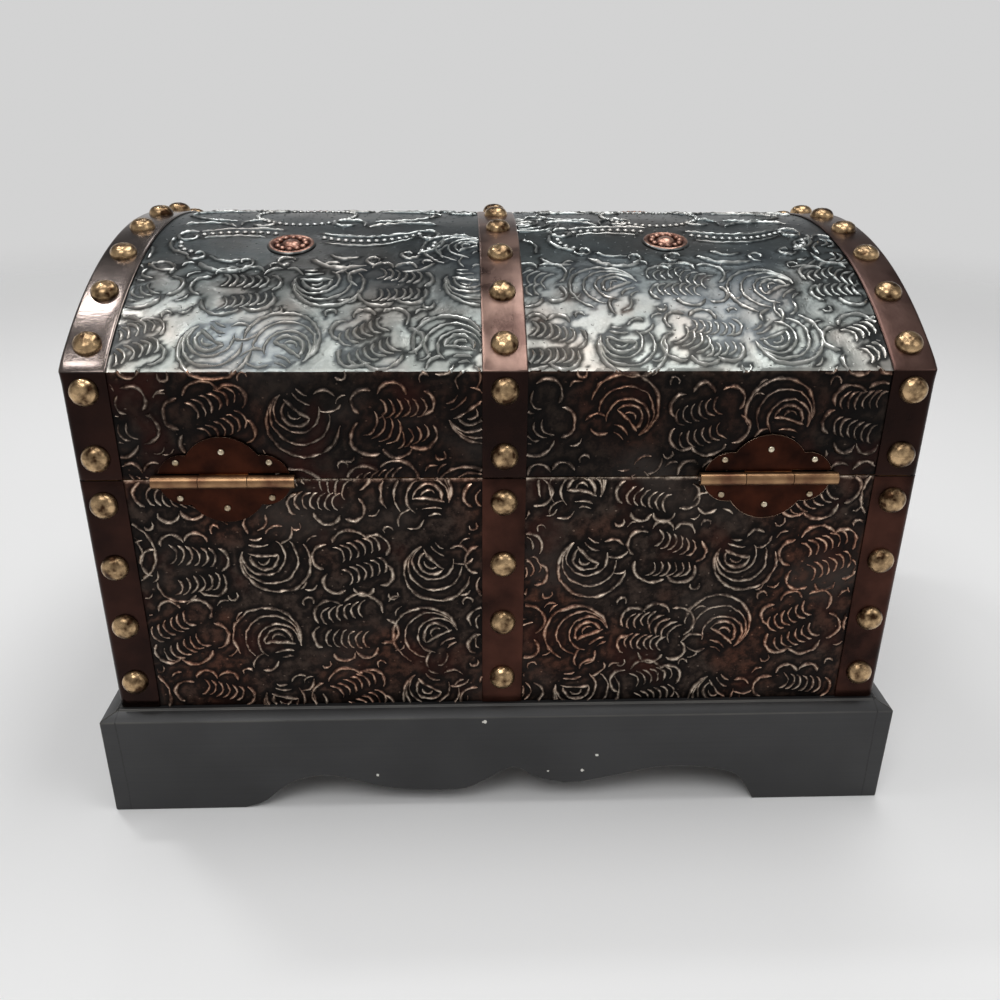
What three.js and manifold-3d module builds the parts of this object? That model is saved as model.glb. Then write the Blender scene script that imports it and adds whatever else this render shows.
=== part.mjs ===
// A small dome top trunk: a wooden box on a scalloped plinth, covered with embossed sheet metal and
// bound with copper straps and domed studs, with a lid on two lobed hinges and a hook in front.
// Lengths are millimetres. X runs left to right, the front faces -Y, the hinges are at +Y, Z is up.
import * as THREE from "three";
import { mergeVertices } from "three/addons/utils/BufferGeometryUtils.js";
import Module from "manifold-3d";

const wasm = await Module();
wasm.setup();

// Overall sizes, measured over the straps
const boxWidth = 380;
const boxDepth = 280;
const plinthHeight = 57.75;
const bodyHeight = 122;
const railHeight = 49;
const domeRise = 46;

// Gaps: between pieces fixed to each other, and between the lid and the box
const fitGap = 0.25;
const seamGap = 0.6;
const cutOverrun = 20;

// Wooden boards of the box and the lid
const boardThickness = 10;
const bottomThickness = 6;
const domeThickness = 5;
const cornerRadius = 2;
const liningThickness = 1.2;
const liningDrop = 1;

// Sheet metal cover, straps and their studs
const coverThickness = 0.6;
const strapThickness = 0.8;
const strapWidth = 20;
const archFlange = 8;
const studRadius = 6.25;
const studHeight = 4.5;
const studLip = 0.8;
const studShoulderShare = 0.74;
const studShoulderHeightShare = 0.72;
const bodyStudDrop = 12;
const bodyStudLift = 15;
const bodyStudCount = 4;
const railStudLift = 10.5;
const railStudDrop = 8;
const domeStudInset = 15;
const domeStudCount = 9;

// Embossing of the covers: rows of pairs of open rings, a fan and a cloud, and on the dome two
// medallions, each with two rosettes in a frame of bows about a ring on the crown
const motifAcross = 74;
const motifAlong = 38;
const motifStagger = 18.5;
const fanSide = 17;
const fanRadius = 13;
const cloudSide = 14.5;
const cloudRadius = 11.5;
const ringGap = THREE.MathUtils.degToRad(80);
const ridgeHalfWidth = 1.6;
const ridgeRise = 0.9;
const ridgeSink = 0.3;
const ridgeMargin = 1;
const rosetteRadius = 11;
const rosetteRise = 1.5;
const medallionReach = 60;
const bowDepth = 8;
const crownRingRadius = 26;
const clearAcross = 84;
const clearAlong = 88;

// Corners of a medallion's frame seen from its rosette: shares of its reach across and up
const medallionShares = {
  left: [-0.97, 0.47],
  right: [1.02, 0.2],
  low: [0, -0.4],
  high: [0, 0.33],
};

// Rosettes: shares of half the width from the middle, and of the dome from its eave
const rosetteShares = [
  [-0.44, 0.33],
  [0.536, 0.312],
];

// Plinth boards, with the ledge that shows round the box and the scalloped lower edge
const ledgeWidth = 8;
const ledgeDrop = 2.75;
const ledgeStep = 0.9;
const ledgeStepInset = 1.5;
const ledgeRound = 0.8;
const apronThickness = 16;
const footLength = 66;
const scallopRise = 23;
const blockSize = 20;
const blockLift = 4;

// Lower edge of an apron seen from outside: shares of half the opening, and of the rise
const scallopShares = [
  [-1, 0],
  [-0.92, 0.17],
  [-0.84, 0.57],
  [-0.75, 0.81],
  [-0.64, 0.83],
  [-0.44, 0.48],
  [-0.2, 0.39],
  [-0.1, 0.53],
  [0.04, 1],
  [0.13, 0.72],
  [0.27, 0.54],
  [0.46, 0.74],
  [0.6, 0.93],
  [0.74, 0.94],
  [0.89, 0.78],
  [0.95, 0.5],
  [1, 0],
];

// Hinges: two lobed leaves and three knuckles on one pin, outside the back of the box
const hingeInset = 67.5;
const hingeOffCentre = 2.5;
const barrelLength = 63;
const barrelRadius = 3;
const boreRadius = 1.45;
const pinRadius = 1.2;
const pinProud = 0.5;
const knuckleGap = 0.3;
const middleKnuckleShare = 0.34;
const leafThickness = 1.2;
const leafClear = 0.4;
const crownLobeRadius = 18.75;
const crownLobeLift = 1.75;
const sideLobeRadius = 12;
const sideLobeSpread = 17.5;
const sideNailSpread = 20.5;
const sideNailLift = 8.5;
const crownNailLift = 13.5;
const nailHeadRadius = 1.5;
const nailHeadHeight = 0.9;
const nailShankRadius = 0.6;
const nailBite = 5;

// Swing hook in front: a plate and pivot on the lid, a plate and peg on the box
const plateWidth = 26;
const plateHeight = 20;
const plateRadius = 6;
const plateThickness = 1.2;
const plateSeamInset = 2.5;
const plateNailSpread = 9.5;
const plateNailDrop = 4;
const pivotSide = 6.5;
const pivotLift = 14.5;
const pivotShankRadius = 2;
const pivotHeadRadius = 3.8;
const pivotHeadHeight = 1.4;
const pivotClear = 0.3;
const hookReach = 26;
const hookSwing = THREE.MathUtils.degToRad(30);
const hookEyeRadius = 5;
const hookHeadRadius = 7.2;
const hookArmWidth = 5;
const hookThickness = 2;
const pegRadius = 2.5;
const pegClear = 0.6;
const knobRadius = 3.8;
const knobHeight = 2.4;
const collarWidth = 1;

// Facets: steps along the dome, round a stud, a small round and a large round
const domeSteps = 24;
const studSides = 10;
const smallSides = 8;
const roundSides = 16;
const lobeSides = 36;
const cornerSteps = 3;
const scallopSteps = 44;
const fanSteps = 4;
const cloudSteps = 3;
const bowSteps = 3;

// Layers outward from the wood: cover first, then the straps, which give the overall size
const coverInner = fitGap;
const coverOuter = coverInner + coverThickness;
const strapInner = coverOuter + fitGap;
const strapOuter = strapInner + strapThickness;
const studSink = strapThickness / 2;

// Sizes of the wooden case and heights of its levels
const caseWidth = boxWidth - 2 * strapOuter;
const caseDepth = boxDepth - 2 * strapOuter;
const boxBase = plinthHeight + fitGap;
const seamHeight = boxBase + bodyHeight;
const bodyTop = bodyHeight - seamGap / 2;
const lidBottom = seamGap / 2;
const domeRadius = ((caseDepth / 2) ** 2 + domeRise ** 2) / (2 * domeRise);
const domeCentre = railHeight + domeRise - domeRadius;

// Finishes
const finish = (color, roughness, metalness) =>
  new THREE.MeshStandardMaterial({ color, roughness, metalness });
const makeFinish = {
  blackWood: () => finish(0x343434, 0.45, 0),
  rawWood: () => finish(0x8a6a48, 0.7, 0),
  embossedSheet: () => finish(0x2e2924, 0.4, 0.8),
  copperStrap: () => finish(0x4a2d23, 0.35, 0.8),
  hingeLeaf: () => finish(0x3a211a, 0.4, 0.8),
  pinSteel: () => finish(0x9a9a98, 0.35, 0.9),
  brass: () => finish(0x9c7b45, 0.35, 0.9),
  felt: () => finish(0x1d1718, 0.95, 0),
};

// Turns a closed three.js geometry into a solid that can be cut and joined.
function solid(geometry) {
  const bare = geometry.clone();
  bare.deleteAttribute("normal");
  bare.deleteAttribute("uv");
  const merged = mergeVertices(bare);
  const corners = [];
  const index = merged.index.array;
  for (let i = 0; i < index.length; i += 3) {
    const [a, b, c] = index.slice(i, i + 3);
    if (a !== b && b !== c && c !== a) {
      corners.push(a, b, c);
    }
  }
  const mesh = new wasm.Mesh({
    numProp: 3,
    vertProperties: merged.attributes.position.array,
    triVerts: new Uint32Array(corners),
  });
  return new wasm.Manifold(mesh);
}

// Gives a cut solid back as a flat shaded geometry.
function geometryOf(shape) {
  const { vertProperties, triVerts } = shape.getMesh();
  const geometry = new THREE.BufferGeometry();
  geometry.setAttribute("position", new THREE.BufferAttribute(new Float32Array(vertProperties), 3));
  geometry.setIndex(new THREE.BufferAttribute(new Uint32Array(triVerts), 1));
  const flat = geometry.toNonIndexed();
  flat.computeVertexNormals();
  return flat;
}

function piece(name, shape, material, parent) {
  const mesh = new THREE.Mesh(geometryOf(shape), material());
  mesh.name = name;
  parent.add(mesh);
  return mesh;
}

// An outline drawn in (x, y) and raised along Z.
function alongZ(outline, low, high) {
  const geometry = new THREE.ExtrudeGeometry(outline, {
    depth: high - low,
    bevelEnabled: false,
    curveSegments: cornerSteps,
  });
  return geometry.translate(0, 0, low);
}

// An outline drawn in (y, z) and run along X.
function alongX(outline, low, high) {
  const turn = new THREE.Matrix4().makeBasis(
    new THREE.Vector3(0, 1, 0),
    new THREE.Vector3(0, 0, 1),
    new THREE.Vector3(1, 0, 0),
  );
  return alongZ(outline, low, high).applyMatrix4(turn);
}

// An outline drawn in (x, z) and run along Y.
function alongY(outline, low, high) {
  const turn = new THREE.Matrix4().makeBasis(
    new THREE.Vector3(1, 0, 0),
    new THREE.Vector3(0, 0, 1),
    new THREE.Vector3(0, -1, 0),
  );
  return alongZ(outline, -high, -low).applyMatrix4(turn);
}

function block(xLow, xHigh, yLow, yHigh, zLow, zHigh) {
  const geometry = new THREE.BoxGeometry(xHigh - xLow, yHigh - yLow, zHigh - zLow);
  geometry.translate((xLow + xHigh) / 2, (yLow + yHigh) / 2, (zLow + zHigh) / 2);
  return solid(geometry);
}

// A round bar along Y, centred at (x, z).
function barAlongY(radius, x, z, yLow, yHigh, sides) {
  const geometry = new THREE.CylinderGeometry(radius, radius, yHigh - yLow, sides);
  return solid(geometry.translate(x, (yLow + yHigh) / 2, z));
}

// A round bar along X, centred on the X axis.
function barAlongX(radius, xLow, xHigh, sides) {
  const geometry = new THREE.CylinderGeometry(radius, radius, xHigh - xLow, sides);
  geometry.rotateZ(Math.PI / 2);
  return solid(geometry.translate((xLow + xHigh) / 2, 0, 0));
}

function roundedRectangle(width, height, radius) {
  const x = width / 2;
  const y = height / 2;
  const outline = new THREE.Shape();
  outline.absarc(x - radius, y - radius, radius, 0, Math.PI / 2);
  outline.absarc(radius - x, y - radius, radius, Math.PI / 2, Math.PI);
  outline.absarc(radius - x, radius - y, radius, Math.PI, Math.PI * 1.5);
  outline.absarc(x - radius, radius - y, radius, Math.PI * 1.5, Math.PI * 2);
  return outline;
}

// The plan of the case with its rounded corners, grown by an offset.
function footprint(offset, low, high) {
  const width = caseWidth + 2 * offset;
  const depth = caseDepth + 2 * offset;
  return solid(alongZ(roundedRectangle(width, depth, cornerRadius + offset), low, high));
}

// Points of a dome arc in (y, z), from the front to the back, above the seam.
function domeArc(radius, halfDepth) {
  const reach = Math.asin(halfDepth / radius);
  const points = [];
  for (let step = 0; step <= domeSteps; step += 1) {
    const angle = reach * ((2 * step) / domeSteps - 1);
    const y = radius * Math.sin(angle);
    const z = domeCentre + radius * Math.cos(angle);
    points.push(new THREE.Vector2(y, z));
  }
  return points;
}

// The end view of the lid: straight rails to the eaves and the dome between them.
function lidEndView(halfDepth, radius, bottom) {
  const points = domeArc(radius, halfDepth);
  return [
    new THREE.Vector2(-halfDepth, bottom),
    ...points,
    new THREE.Vector2(halfDepth, bottom),
  ];
}

function lidOffsetView(offset, bottom) {
  return lidEndView(caseDepth / 2 + offset, domeRadius + offset, bottom);
}

// The whole lid as one block, grown by an offset, with rounded upright corners.
function lidBlock(offset, bottom) {
  const half = caseWidth / 2 + offset;
  const outline = new THREE.Shape(lidOffsetView(offset, bottom).reverse());
  const run = solid(alongX(outline, -half, half));
  const top = railHeight + domeRise + cutOverrun;
  return run.intersect(footprint(offset, bottom - cutOverrun, top));
}

// A band that follows the lid from seam to seam, between two offsets.
function lidBand(inner, outer, xLow, xHigh) {
  const outside = lidOffsetView(outer, lidBottom);
  const inside = lidOffsetView(inner, lidBottom);
  const outline = new THREE.Shape([...inside, ...outside.reverse()]);
  return solid(alongX(outline, xLow, xHigh));
}

// A domed stud: its foot lies half way into the strap, so strap and stud are one solid.
function stud(x, y, z, outward) {
  const profile = [
    new THREE.Vector2(0, -studSink),
    new THREE.Vector2(studRadius, -studSink),
    new THREE.Vector2(studRadius, studLip),
    new THREE.Vector2(studRadius * studShoulderShare, studHeight * studShoulderHeightShare),
    new THREE.Vector2(0, studHeight),
  ];
  const geometry = new THREE.LatheGeometry(profile, studSides);
  const turn = new THREE.Quaternion().setFromUnitVectors(new THREE.Vector3(0, 1, 0), outward);
  const place = new THREE.Matrix4().compose(
    new THREE.Vector3(x, y, z),
    turn,
    new THREE.Vector3(1, 1, 1),
  );
  return solid(geometry.applyMatrix4(place));
}

// Evenly spaced values from a first to a last one.
function spread(first, last, count) {
  const values = [];
  for (let i = 0; i < count; i += 1) {
    values.push(first + ((last - first) * i) / (count - 1));
  }
  return values;
}

const bodyStudHeights = spread(bodyHeight - bodyStudDrop, bodyStudLift, bodyStudCount);
const railStudHeights = [railHeight - railStudDrop, railStudLift];

// Angles from the crown of the dome at which its studs stand.
function domeStudAngles() {
  const reach = Math.asin(boxDepth / 2 / (domeRadius + strapOuter));
  const inset = domeStudInset / (domeRadius + strapOuter);
  return spread(inset - reach, reach - inset, domeStudCount);
}

const domeStuds = (x) =>
  domeStudAngles().map((angle) => {
    const outward = new THREE.Vector3(0, Math.sin(angle), Math.cos(angle));
    const foot = outward.clone().multiplyScalar(domeRadius + strapOuter);
    return stud(x, foot.y, foot.z + domeCentre, outward);
  });

const joinAll = (shapes) => shapes.reduce((whole, shape) => whole.add(shape));

// Where the hinges stand along the back
const hingePlaces = {
  left: hingeOffCentre - (boxWidth / 2 - hingeInset),
  right: hingeOffCentre + (boxWidth / 2 - hingeInset),
};
const hingeAxisY = caseDepth / 2 + strapInner + barrelRadius;
const leafNails = [
  [-sideNailSpread, sideNailLift],
  [0, crownNailLift],
  [sideNailSpread, sideNailLift],
];

// Holes for the hinge nails in the sheet and the board behind one row of leaves.
function hingeNailHoles(direction) {
  const deep = caseDepth / 2 - nailBite - fitGap;
  const holes = [];
  for (const hingeX of Object.values(hingePlaces)) {
    for (const [x, lift] of leafNails) {
      const radius = nailShankRadius + fitGap;
      holes.push(
        barAlongY(radius, hingeX + x, direction * lift, deep, hingeAxisY, smallSides),
      );
    }
  }
  return joinAll(holes);
}

// A raised line on a cover: a low three-sided bar whose foot is sunk in the sheet. Its points are
// places on the cover laid flat, and lay puts a place with its height where the cover has it.
function ridge(points, lay) {
  const positions = [];
  points.forEach(([u, v], i) => {
    const before = points[Math.max(i - 1, 0)];
    const after = points[Math.min(i + 1, points.length - 1)];
    const run = new THREE.Vector2(after[0] - before[0], after[1] - before[1]);
    const side = run.normalize().multiplyScalar(ridgeHalfWidth);
    const left = lay(u - side.y, v + side.x, -ridgeSink);
    const crest = lay(u, v, ridgeRise);
    const right = lay(u + side.y, v - side.x, -ridgeSink);
    positions.push(...left.toArray(), ...crest.toArray(), ...right.toArray());
  });
  const index = [0, 2, 1];
  const last = 3 * (points.length - 1);
  for (let start = 0; start < last; start += 3) {
    for (const [a, b] of [
      [0, 1],
      [1, 2],
      [2, 0],
    ]) {
      index.push(start + a, start + b, start + 3 + b);
      index.push(start + a, start + 3 + b, start + 3 + a);
    }
  }
  index.push(last, last + 1, last + 2);
  const geometry = new THREE.BufferGeometry();
  geometry.setAttribute("position", new THREE.Float32BufferAttribute(positions, 3));
  geometry.setIndex(index);
  return solid(geometry);
}

// An open ring on a laid flat cover, its gap centred on an angle.
function openRing(u, v, radius, gapAngle, steps) {
  const curve = new THREE.EllipseCurve(
    u,
    v,
    radius,
    radius,
    gapAngle + ringGap / 2,
    gapAngle + 2 * Math.PI - ringGap / 2,
  );
  return curve.getPoints(steps).map((point) => point.toArray());
}

// A bent line between two places, with its middle moved to its left by a depth.
function bow(start, end, depth) {
  const from = new THREE.Vector2(...start);
  const to = new THREE.Vector2(...end);
  const along = to.clone().sub(from).normalize();
  const control = from.clone().add(to).multiplyScalar(1 / 2);
  control.add(new THREE.Vector2(-along.y, along.x).multiplyScalar(2 * depth));
  const curve = new THREE.QuadraticBezierCurve(from, control, to);
  return curve.getPoints(bowSteps).map((point) => point.toArray());
}

// The pairs of rings of one bay: every other row is turned round and moved half a step.
function motifLines(width, length, clear) {
  const columns = Math.floor(width / motifAcross) + 3;
  const rows = 2 * (Math.floor(length / motifAlong / 2) + 2);
  const lines = [];
  for (let row = 0; row < rows; row += 1) {
    const turn = row % 2 === 0 ? -1 : 1;
    for (let column = 0; column < columns; column += 1) {
      const u = (column - (columns - 1) / 2) * motifAcross + turn * motifStagger;
      const v = (row - (rows - 1) / 2) * motifAlong + length / 2;
      if (clear(u, v)) {
        continue;
      }
      const fanU = u + turn * fanSide;
      const cloudU = u - turn * cloudSide;
      const rowShows = v > 0 && v < length;
      if (rowShows && Math.abs(fanU) < width / 2) {
        lines.push(openRing(fanU, v, fanRadius, turn < 0 ? 0 : Math.PI, fanSteps));
      }
      if (rowShows && Math.abs(cloudU) < width / 2) {
        lines.push(openRing(cloudU, v, cloudRadius, -Math.PI / 2, cloudSteps));
      }
    }
  }
  return lines;
}

const noClearing = () => false;

const trunk = new THREE.Group();
const plinth = new THREE.Group();
const box = new THREE.Group();
const lid = new THREE.Group();
box.position.z = boxBase;
lid.position.z = seamHeight;
trunk.add(plinth, box, lid);

// Plinth

// One apron, outer face at y = 0 towards -Y, with moulded top, scalloped foot and mitred ends.
function apron(length) {
  const half = length / 2;
  const opening = half - footLength;
  const curve = new THREE.SplineCurve(
    scallopShares.map(([x, z]) => new THREE.Vector2(x * opening, z * scallopRise)),
  );
  const faceOutline = new THREE.Shape([
    new THREE.Vector2(-half, 0),
    ...curve.getPoints(scallopSteps),
    new THREE.Vector2(half, 0),
    new THREE.Vector2(half, plinthHeight),
    new THREE.Vector2(-half, plinthHeight),
  ]);
  const ledgeEdge = plinthHeight - ledgeDrop;
  const stepStart = ledgeWidth - ledgeStepInset;
  const section = new THREE.Shape([
    new THREE.Vector2(0, 0),
    new THREE.Vector2(apronThickness, 0),
    new THREE.Vector2(apronThickness, plinthHeight),
    new THREE.Vector2(stepStart, plinthHeight),
    new THREE.Vector2(stepStart, plinthHeight - ledgeStep),
    new THREE.Vector2(ledgeRound, ledgeEdge),
    new THREE.Vector2(0, ledgeEdge - ledgeRound),
  ]);
  const mitred = new THREE.Shape([
    new THREE.Vector2(fitGap - half, 0),
    new THREE.Vector2(half - fitGap, 0),
    new THREE.Vector2(half - fitGap - apronThickness, apronThickness),
    new THREE.Vector2(fitGap + apronThickness - half, apronThickness),
  ]);
  const face = solid(alongY(faceOutline, -cutOverrun, apronThickness + cutOverrun));
  const moulding = solid(alongX(section, -half, half));
  const ends = solid(alongZ(mitred, -cutOverrun, plinthHeight + cutOverrun));
  return moulding.intersect(face).intersect(ends);
}

const plinthWidth = boxWidth + 2 * ledgeWidth;
const plinthDepth = boxDepth + 2 * ledgeWidth;
const longApron = apron(plinthWidth);
const shortApron = apron(plinthDepth);
const aprons = [
  ["plinth_apron_front", longApron, 0, -plinthDepth / 2, 0],
  ["plinth_apron_back", longApron, 0, plinthDepth / 2, Math.PI],
  ["plinth_apron_left", shortApron, -plinthWidth / 2, 0, -Math.PI / 2],
  ["plinth_apron_right", shortApron, plinthWidth / 2, 0, Math.PI / 2],
];
for (const [name, shape, x, y, turn] of aprons) {
  const mesh = piece(name, shape, makeFinish.blackWood, plinth);
  mesh.position.set(x, y, 0);
  mesh.rotation.z = turn;
}

// The four corners in plan: name, side along X, side along Y
const cornersInPlan = [
  ["front_left", -1, -1],
  ["front_right", 1, -1],
  ["back_left", -1, 1],
  ["back_right", 1, 1],
];
const blockHeight = plinthHeight - fitGap - blockLift;
for (const [name, sideX, sideY] of cornersInPlan) {
  const inset = apronThickness + fitGap + blockSize / 2;
  const shape = solid(new THREE.BoxGeometry(blockSize, blockSize, blockHeight));
  const mesh = piece("plinth_block_" + name, shape, makeFinish.rawWood, plinth);
  mesh.position.set(
    sideX * (plinthWidth / 2 - inset),
    sideY * (plinthDepth / 2 - inset),
    blockLift + blockHeight / 2,
  );
}

// Box: the boards stand on the bottom, the ends between front and back
const halfCaseWidth = caseWidth / 2;
const halfCaseDepth = caseDepth / 2;
const boardFoot = bottomThickness + fitGap;
piece("body_bottom", footprint(0, 0, bottomThickness), makeFinish.rawWood, box);

const casePlan = footprint(0, boardFoot, bodyTop);
const innerDepth = halfCaseDepth - boardThickness;
const innerWidth = halfCaseWidth - boardThickness;
const wallSlab = (xLow, xHigh, yLow, yHigh) => block(xLow, xHigh, yLow, yHigh, boardFoot, bodyTop);
const frontSlab = wallSlab(-halfCaseWidth, halfCaseWidth, -halfCaseDepth, -innerDepth);
const backSlab = wallSlab(-halfCaseWidth, halfCaseWidth, innerDepth, halfCaseDepth);
const lowerNailHoles = hingeNailHoles(-1).translate([0, 0, bodyHeight]);
const endReach = innerDepth - fitGap;
piece("body_front_board", frontSlab.intersect(casePlan), makeFinish.rawWood, box);
piece(
  "body_back_board",
  backSlab.intersect(casePlan).subtract(lowerNailHoles),
  makeFinish.rawWood,
  box,
);
piece(
  "body_left_board",
  wallSlab(-halfCaseWidth, -innerWidth, -endReach, endReach),
  makeFinish.rawWood,
  box,
);
piece(
  "body_right_board",
  wallSlab(innerWidth, halfCaseWidth, -endReach, endReach),
  makeFinish.rawWood,
  box,
);

// Felt lining of the box: an open tray
const liningHalfWidth = innerWidth - fitGap;
const liningHalfDepth = innerDepth - fitGap;
const liningFloor = boardFoot + liningThickness;
const liningTop = bodyTop - liningDrop;
const feltOutside = block(
  -liningHalfWidth,
  liningHalfWidth,
  -liningHalfDepth,
  liningHalfDepth,
  boardFoot,
  liningTop,
);
const feltInside = block(
  liningThickness - liningHalfWidth,
  liningHalfWidth - liningThickness,
  liningThickness - liningHalfDepth,
  liningHalfDepth - liningThickness,
  liningFloor,
  liningTop + cutOverrun,
);
piece("body_lining", feltOutside.subtract(feltInside), makeFinish.felt, box);

// Embossed sheets on the four sides of the box, which stop under the corner straps. Each is made
// as the face that looks along +Y, with its ridges inside the bays that the straps leave open.
const sheetHalfWidth = halfCaseWidth - cornerRadius;
const sheetHalfDepth = halfCaseDepth - cornerRadius;
const ridgeTop = coverOuter + 2 * ridgeRise;
const bayHalfWidth = halfCaseWidth + strapOuter - strapWidth - ridgeMargin;
const bayHalfDepth = halfCaseDepth + strapOuter - strapWidth - ridgeMargin;
const middleGap = strapWidth / 2 + ridgeMargin;

// The ridges of an upright bay on the plane y = face, from low to high, inside its window.
function uprightRelief(width, face, low, high, window) {
  const lay = (u, v, lift) => new THREE.Vector3(-u, face + coverOuter + lift, low + v);
  const lines = motifLines(width, high - low, noClearing);
  return joinAll(lines.map((points) => ridge(points, lay))).intersect(window);
}

function bayWindow(xLow, xHigh, face, zLow, zHigh) {
  return block(
    xLow,
    xHigh,
    face + coverInner,
    face + ridgeTop,
    zLow + ridgeMargin,
    zHigh - ridgeMargin,
  );
}

// The room that the hinge leaves take on the back, about the line of the seam.
function hingeRoom() {
  const rooms = [];
  for (const x of Object.values(hingePlaces)) {
    const disc = (radius, side, z) =>
      barAlongY(radius + ridgeMargin, x + side, z, halfCaseDepth, halfBoxDepth, roundSides);
    const reach = barrelLength / 2 + ridgeMargin;
    const foot = barrelRadius + ridgeMargin;
    rooms.push(
      disc(crownLobeRadius, 0, crownLobeLift),
      disc(crownLobeRadius, 0, -crownLobeLift),
      disc(sideLobeRadius, sideLobeSpread, 0),
      disc(sideLobeRadius, -sideLobeSpread, 0),
      block(x - reach, x + reach, halfCaseDepth, halfBoxDepth, -foot, foot),
    );
  }
  return joinAll(rooms);
}

const halfBoxWidth = boxWidth / 2;
const halfBoxDepth = boxDepth / 2;
const longWindow = bayWindow(middleGap, bayHalfWidth, halfCaseDepth, 0, bodyTop);
const longWindows = longWindow.add(longWindow.mirror([1, 0, 0]));
const longRelief = uprightRelief(2 * bayHalfWidth, halfCaseDepth, 0, bodyTop, longWindows);
const longSheet = block(
  -sheetHalfWidth,
  sheetHalfWidth,
  halfCaseDepth + coverInner,
  halfCaseDepth + coverOuter,
  0,
  bodyTop,
);
const backRelief = longRelief.subtract(hingeRoom().translate([0, 0, bodyHeight]));
const backSheet = longSheet.add(backRelief).subtract(lowerNailHoles);
const frontSheet = longSheet.add(longRelief).rotate([0, 0, 180]);
piece("body_sheet_front", frontSheet, makeFinish.embossedSheet, box);
piece("body_sheet_back", backSheet, makeFinish.embossedSheet, box);

const endWindowBlock = bayWindow(-bayHalfDepth, bayHalfDepth, halfCaseWidth, 0, bodyTop);
const endRelief = uprightRelief(2 * bayHalfDepth, halfCaseWidth, 0, bodyTop, endWindowBlock);
const bodyEndSheet = block(
  -sheetHalfDepth,
  sheetHalfDepth,
  halfCaseWidth + coverInner,
  halfCaseWidth + coverOuter,
  0,
  bodyTop,
).add(endRelief);
piece("body_sheet_left", bodyEndSheet.rotate([0, 0, 90]), makeFinish.embossedSheet, box);
piece("body_sheet_right", bodyEndSheet.rotate([0, 0, -90]), makeFinish.embossedSheet, box);

// Corner straps: an angle of sheet round each upright corner, with studs on its front or back face
const strapRing = footprint(strapOuter, 0, bodyTop).subtract(
  footprint(strapInner, -cutOverrun, bodyTop + cutOverrun),
);
const cornerAngle = strapRing.intersect(
  block(
    halfBoxWidth - strapWidth,
    halfBoxWidth + cutOverrun,
    halfBoxDepth - strapWidth,
    halfBoxDepth + cutOverrun,
    -cutOverrun,
    bodyTop + cutOverrun,
  ),
);
const studInset = strapWidth / 2;
const cornerStuds = bodyStudHeights.map((z) =>
  stud(halfBoxWidth - studInset, halfBoxDepth, z, new THREE.Vector3(0, 1, 0)),
);
const cornerStrap = joinAll([cornerAngle, ...cornerStuds]);

// A solid mirrored across the planes x = 0 and y = 0 where its side is -1.
const mirrored = (shape, sideX, sideY) => {
  const acrossX = sideX < 0 ? shape.mirror([1, 0, 0]) : shape;
  return sideY < 0 ? acrossX.mirror([0, 1, 0]) : acrossX;
};
for (const [name, sideX, sideY] of cornersInPlan) {
  const shape = mirrored(cornerStrap, sideX, sideY);
  piece("corner_strap_" + name, shape, makeFinish.copperStrap, box);
}

// Centre straps of the box: the front one leaves its top stud out for the hook's plate
function bodyCentreStrap(heights) {
  const band = block(
    -strapWidth / 2,
    strapWidth / 2,
    halfCaseDepth + strapInner,
    halfBoxDepth,
    0,
    bodyTop,
  );
  const outward = new THREE.Vector3(0, 1, 0);
  return joinAll([band, ...heights.map((z) => stud(0, halfBoxDepth, z, outward))]);
}
const frontBodyStrap = mirrored(bodyCentreStrap(bodyStudHeights.slice(1)), 1, -1);
piece("body_strap_front", frontBodyStrap, makeFinish.copperStrap, box);
piece("body_strap_back", bodyCentreStrap(bodyStudHeights), makeFinish.copperStrap, box);

// Lid: two D-shaped ends, two rails between them and a bent panel over all four
const panelUnderside = domeRadius - domeThickness;
const endView = lidEndView(halfCaseDepth, panelUnderside - fitGap, lidBottom);
const lidEnd = solid(alongX(new THREE.Shape(endView.reverse()), innerWidth, halfCaseWidth));
const lidPlan = footprint(0, -cutOverrun, railHeight + domeRise + cutOverrun);
const rightEnd = lidEnd.intersect(lidPlan);
piece("lid_end_right", rightEnd, makeFinish.rawWood, lid);
piece("lid_end_left", rightEnd.mirror([1, 0, 0]), makeFinish.rawWood, lid);

const underDome = (y) => domeCentre + Math.sqrt((panelUnderside - fitGap) ** 2 - y ** 2);
const railView = new THREE.Shape([
  new THREE.Vector2(innerDepth, lidBottom),
  new THREE.Vector2(halfCaseDepth, lidBottom),
  new THREE.Vector2(halfCaseDepth, underDome(halfCaseDepth)),
  new THREE.Vector2(innerDepth, underDome(innerDepth)),
]);
const railReach = innerWidth - fitGap;
const upperNailHoles = hingeNailHoles(1);
const rail = solid(alongX(railView, -railReach, railReach));
piece("lid_rail_back", rail.subtract(upperNailHoles), makeFinish.rawWood, lid);
piece("lid_rail_front", rail.mirror([0, 1, 0]), makeFinish.rawWood, lid);

const panelView = new THREE.Shape([
  ...domeArc(panelUnderside, halfCaseDepth),
  ...domeArc(domeRadius, halfCaseDepth).reverse(),
]);
const domePanel = solid(alongX(panelView, -halfCaseWidth, halfCaseWidth)).intersect(lidPlan);
piece("lid_dome_panel", domePanel, makeFinish.rawWood, lid);

// Felt lining of the lid: a shell that follows the rails, the dome and the ends
const liningView = (inset, bottom) =>
  new THREE.Shape(
    lidEndView(liningHalfDepth - inset, panelUnderside - fitGap - inset, bottom).reverse(),
  );
const lidFeltOutside = solid(
  alongX(liningView(0, lidBottom + liningDrop), -liningHalfWidth, liningHalfWidth),
);
const lidFeltInside = solid(
  alongX(
    liningView(liningThickness, -cutOverrun),
    liningThickness - liningHalfWidth,
    liningHalfWidth - liningThickness,
  ),
);
piece("lid_lining", lidFeltOutside.subtract(lidFeltInside), makeFinish.felt, lid);

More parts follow.
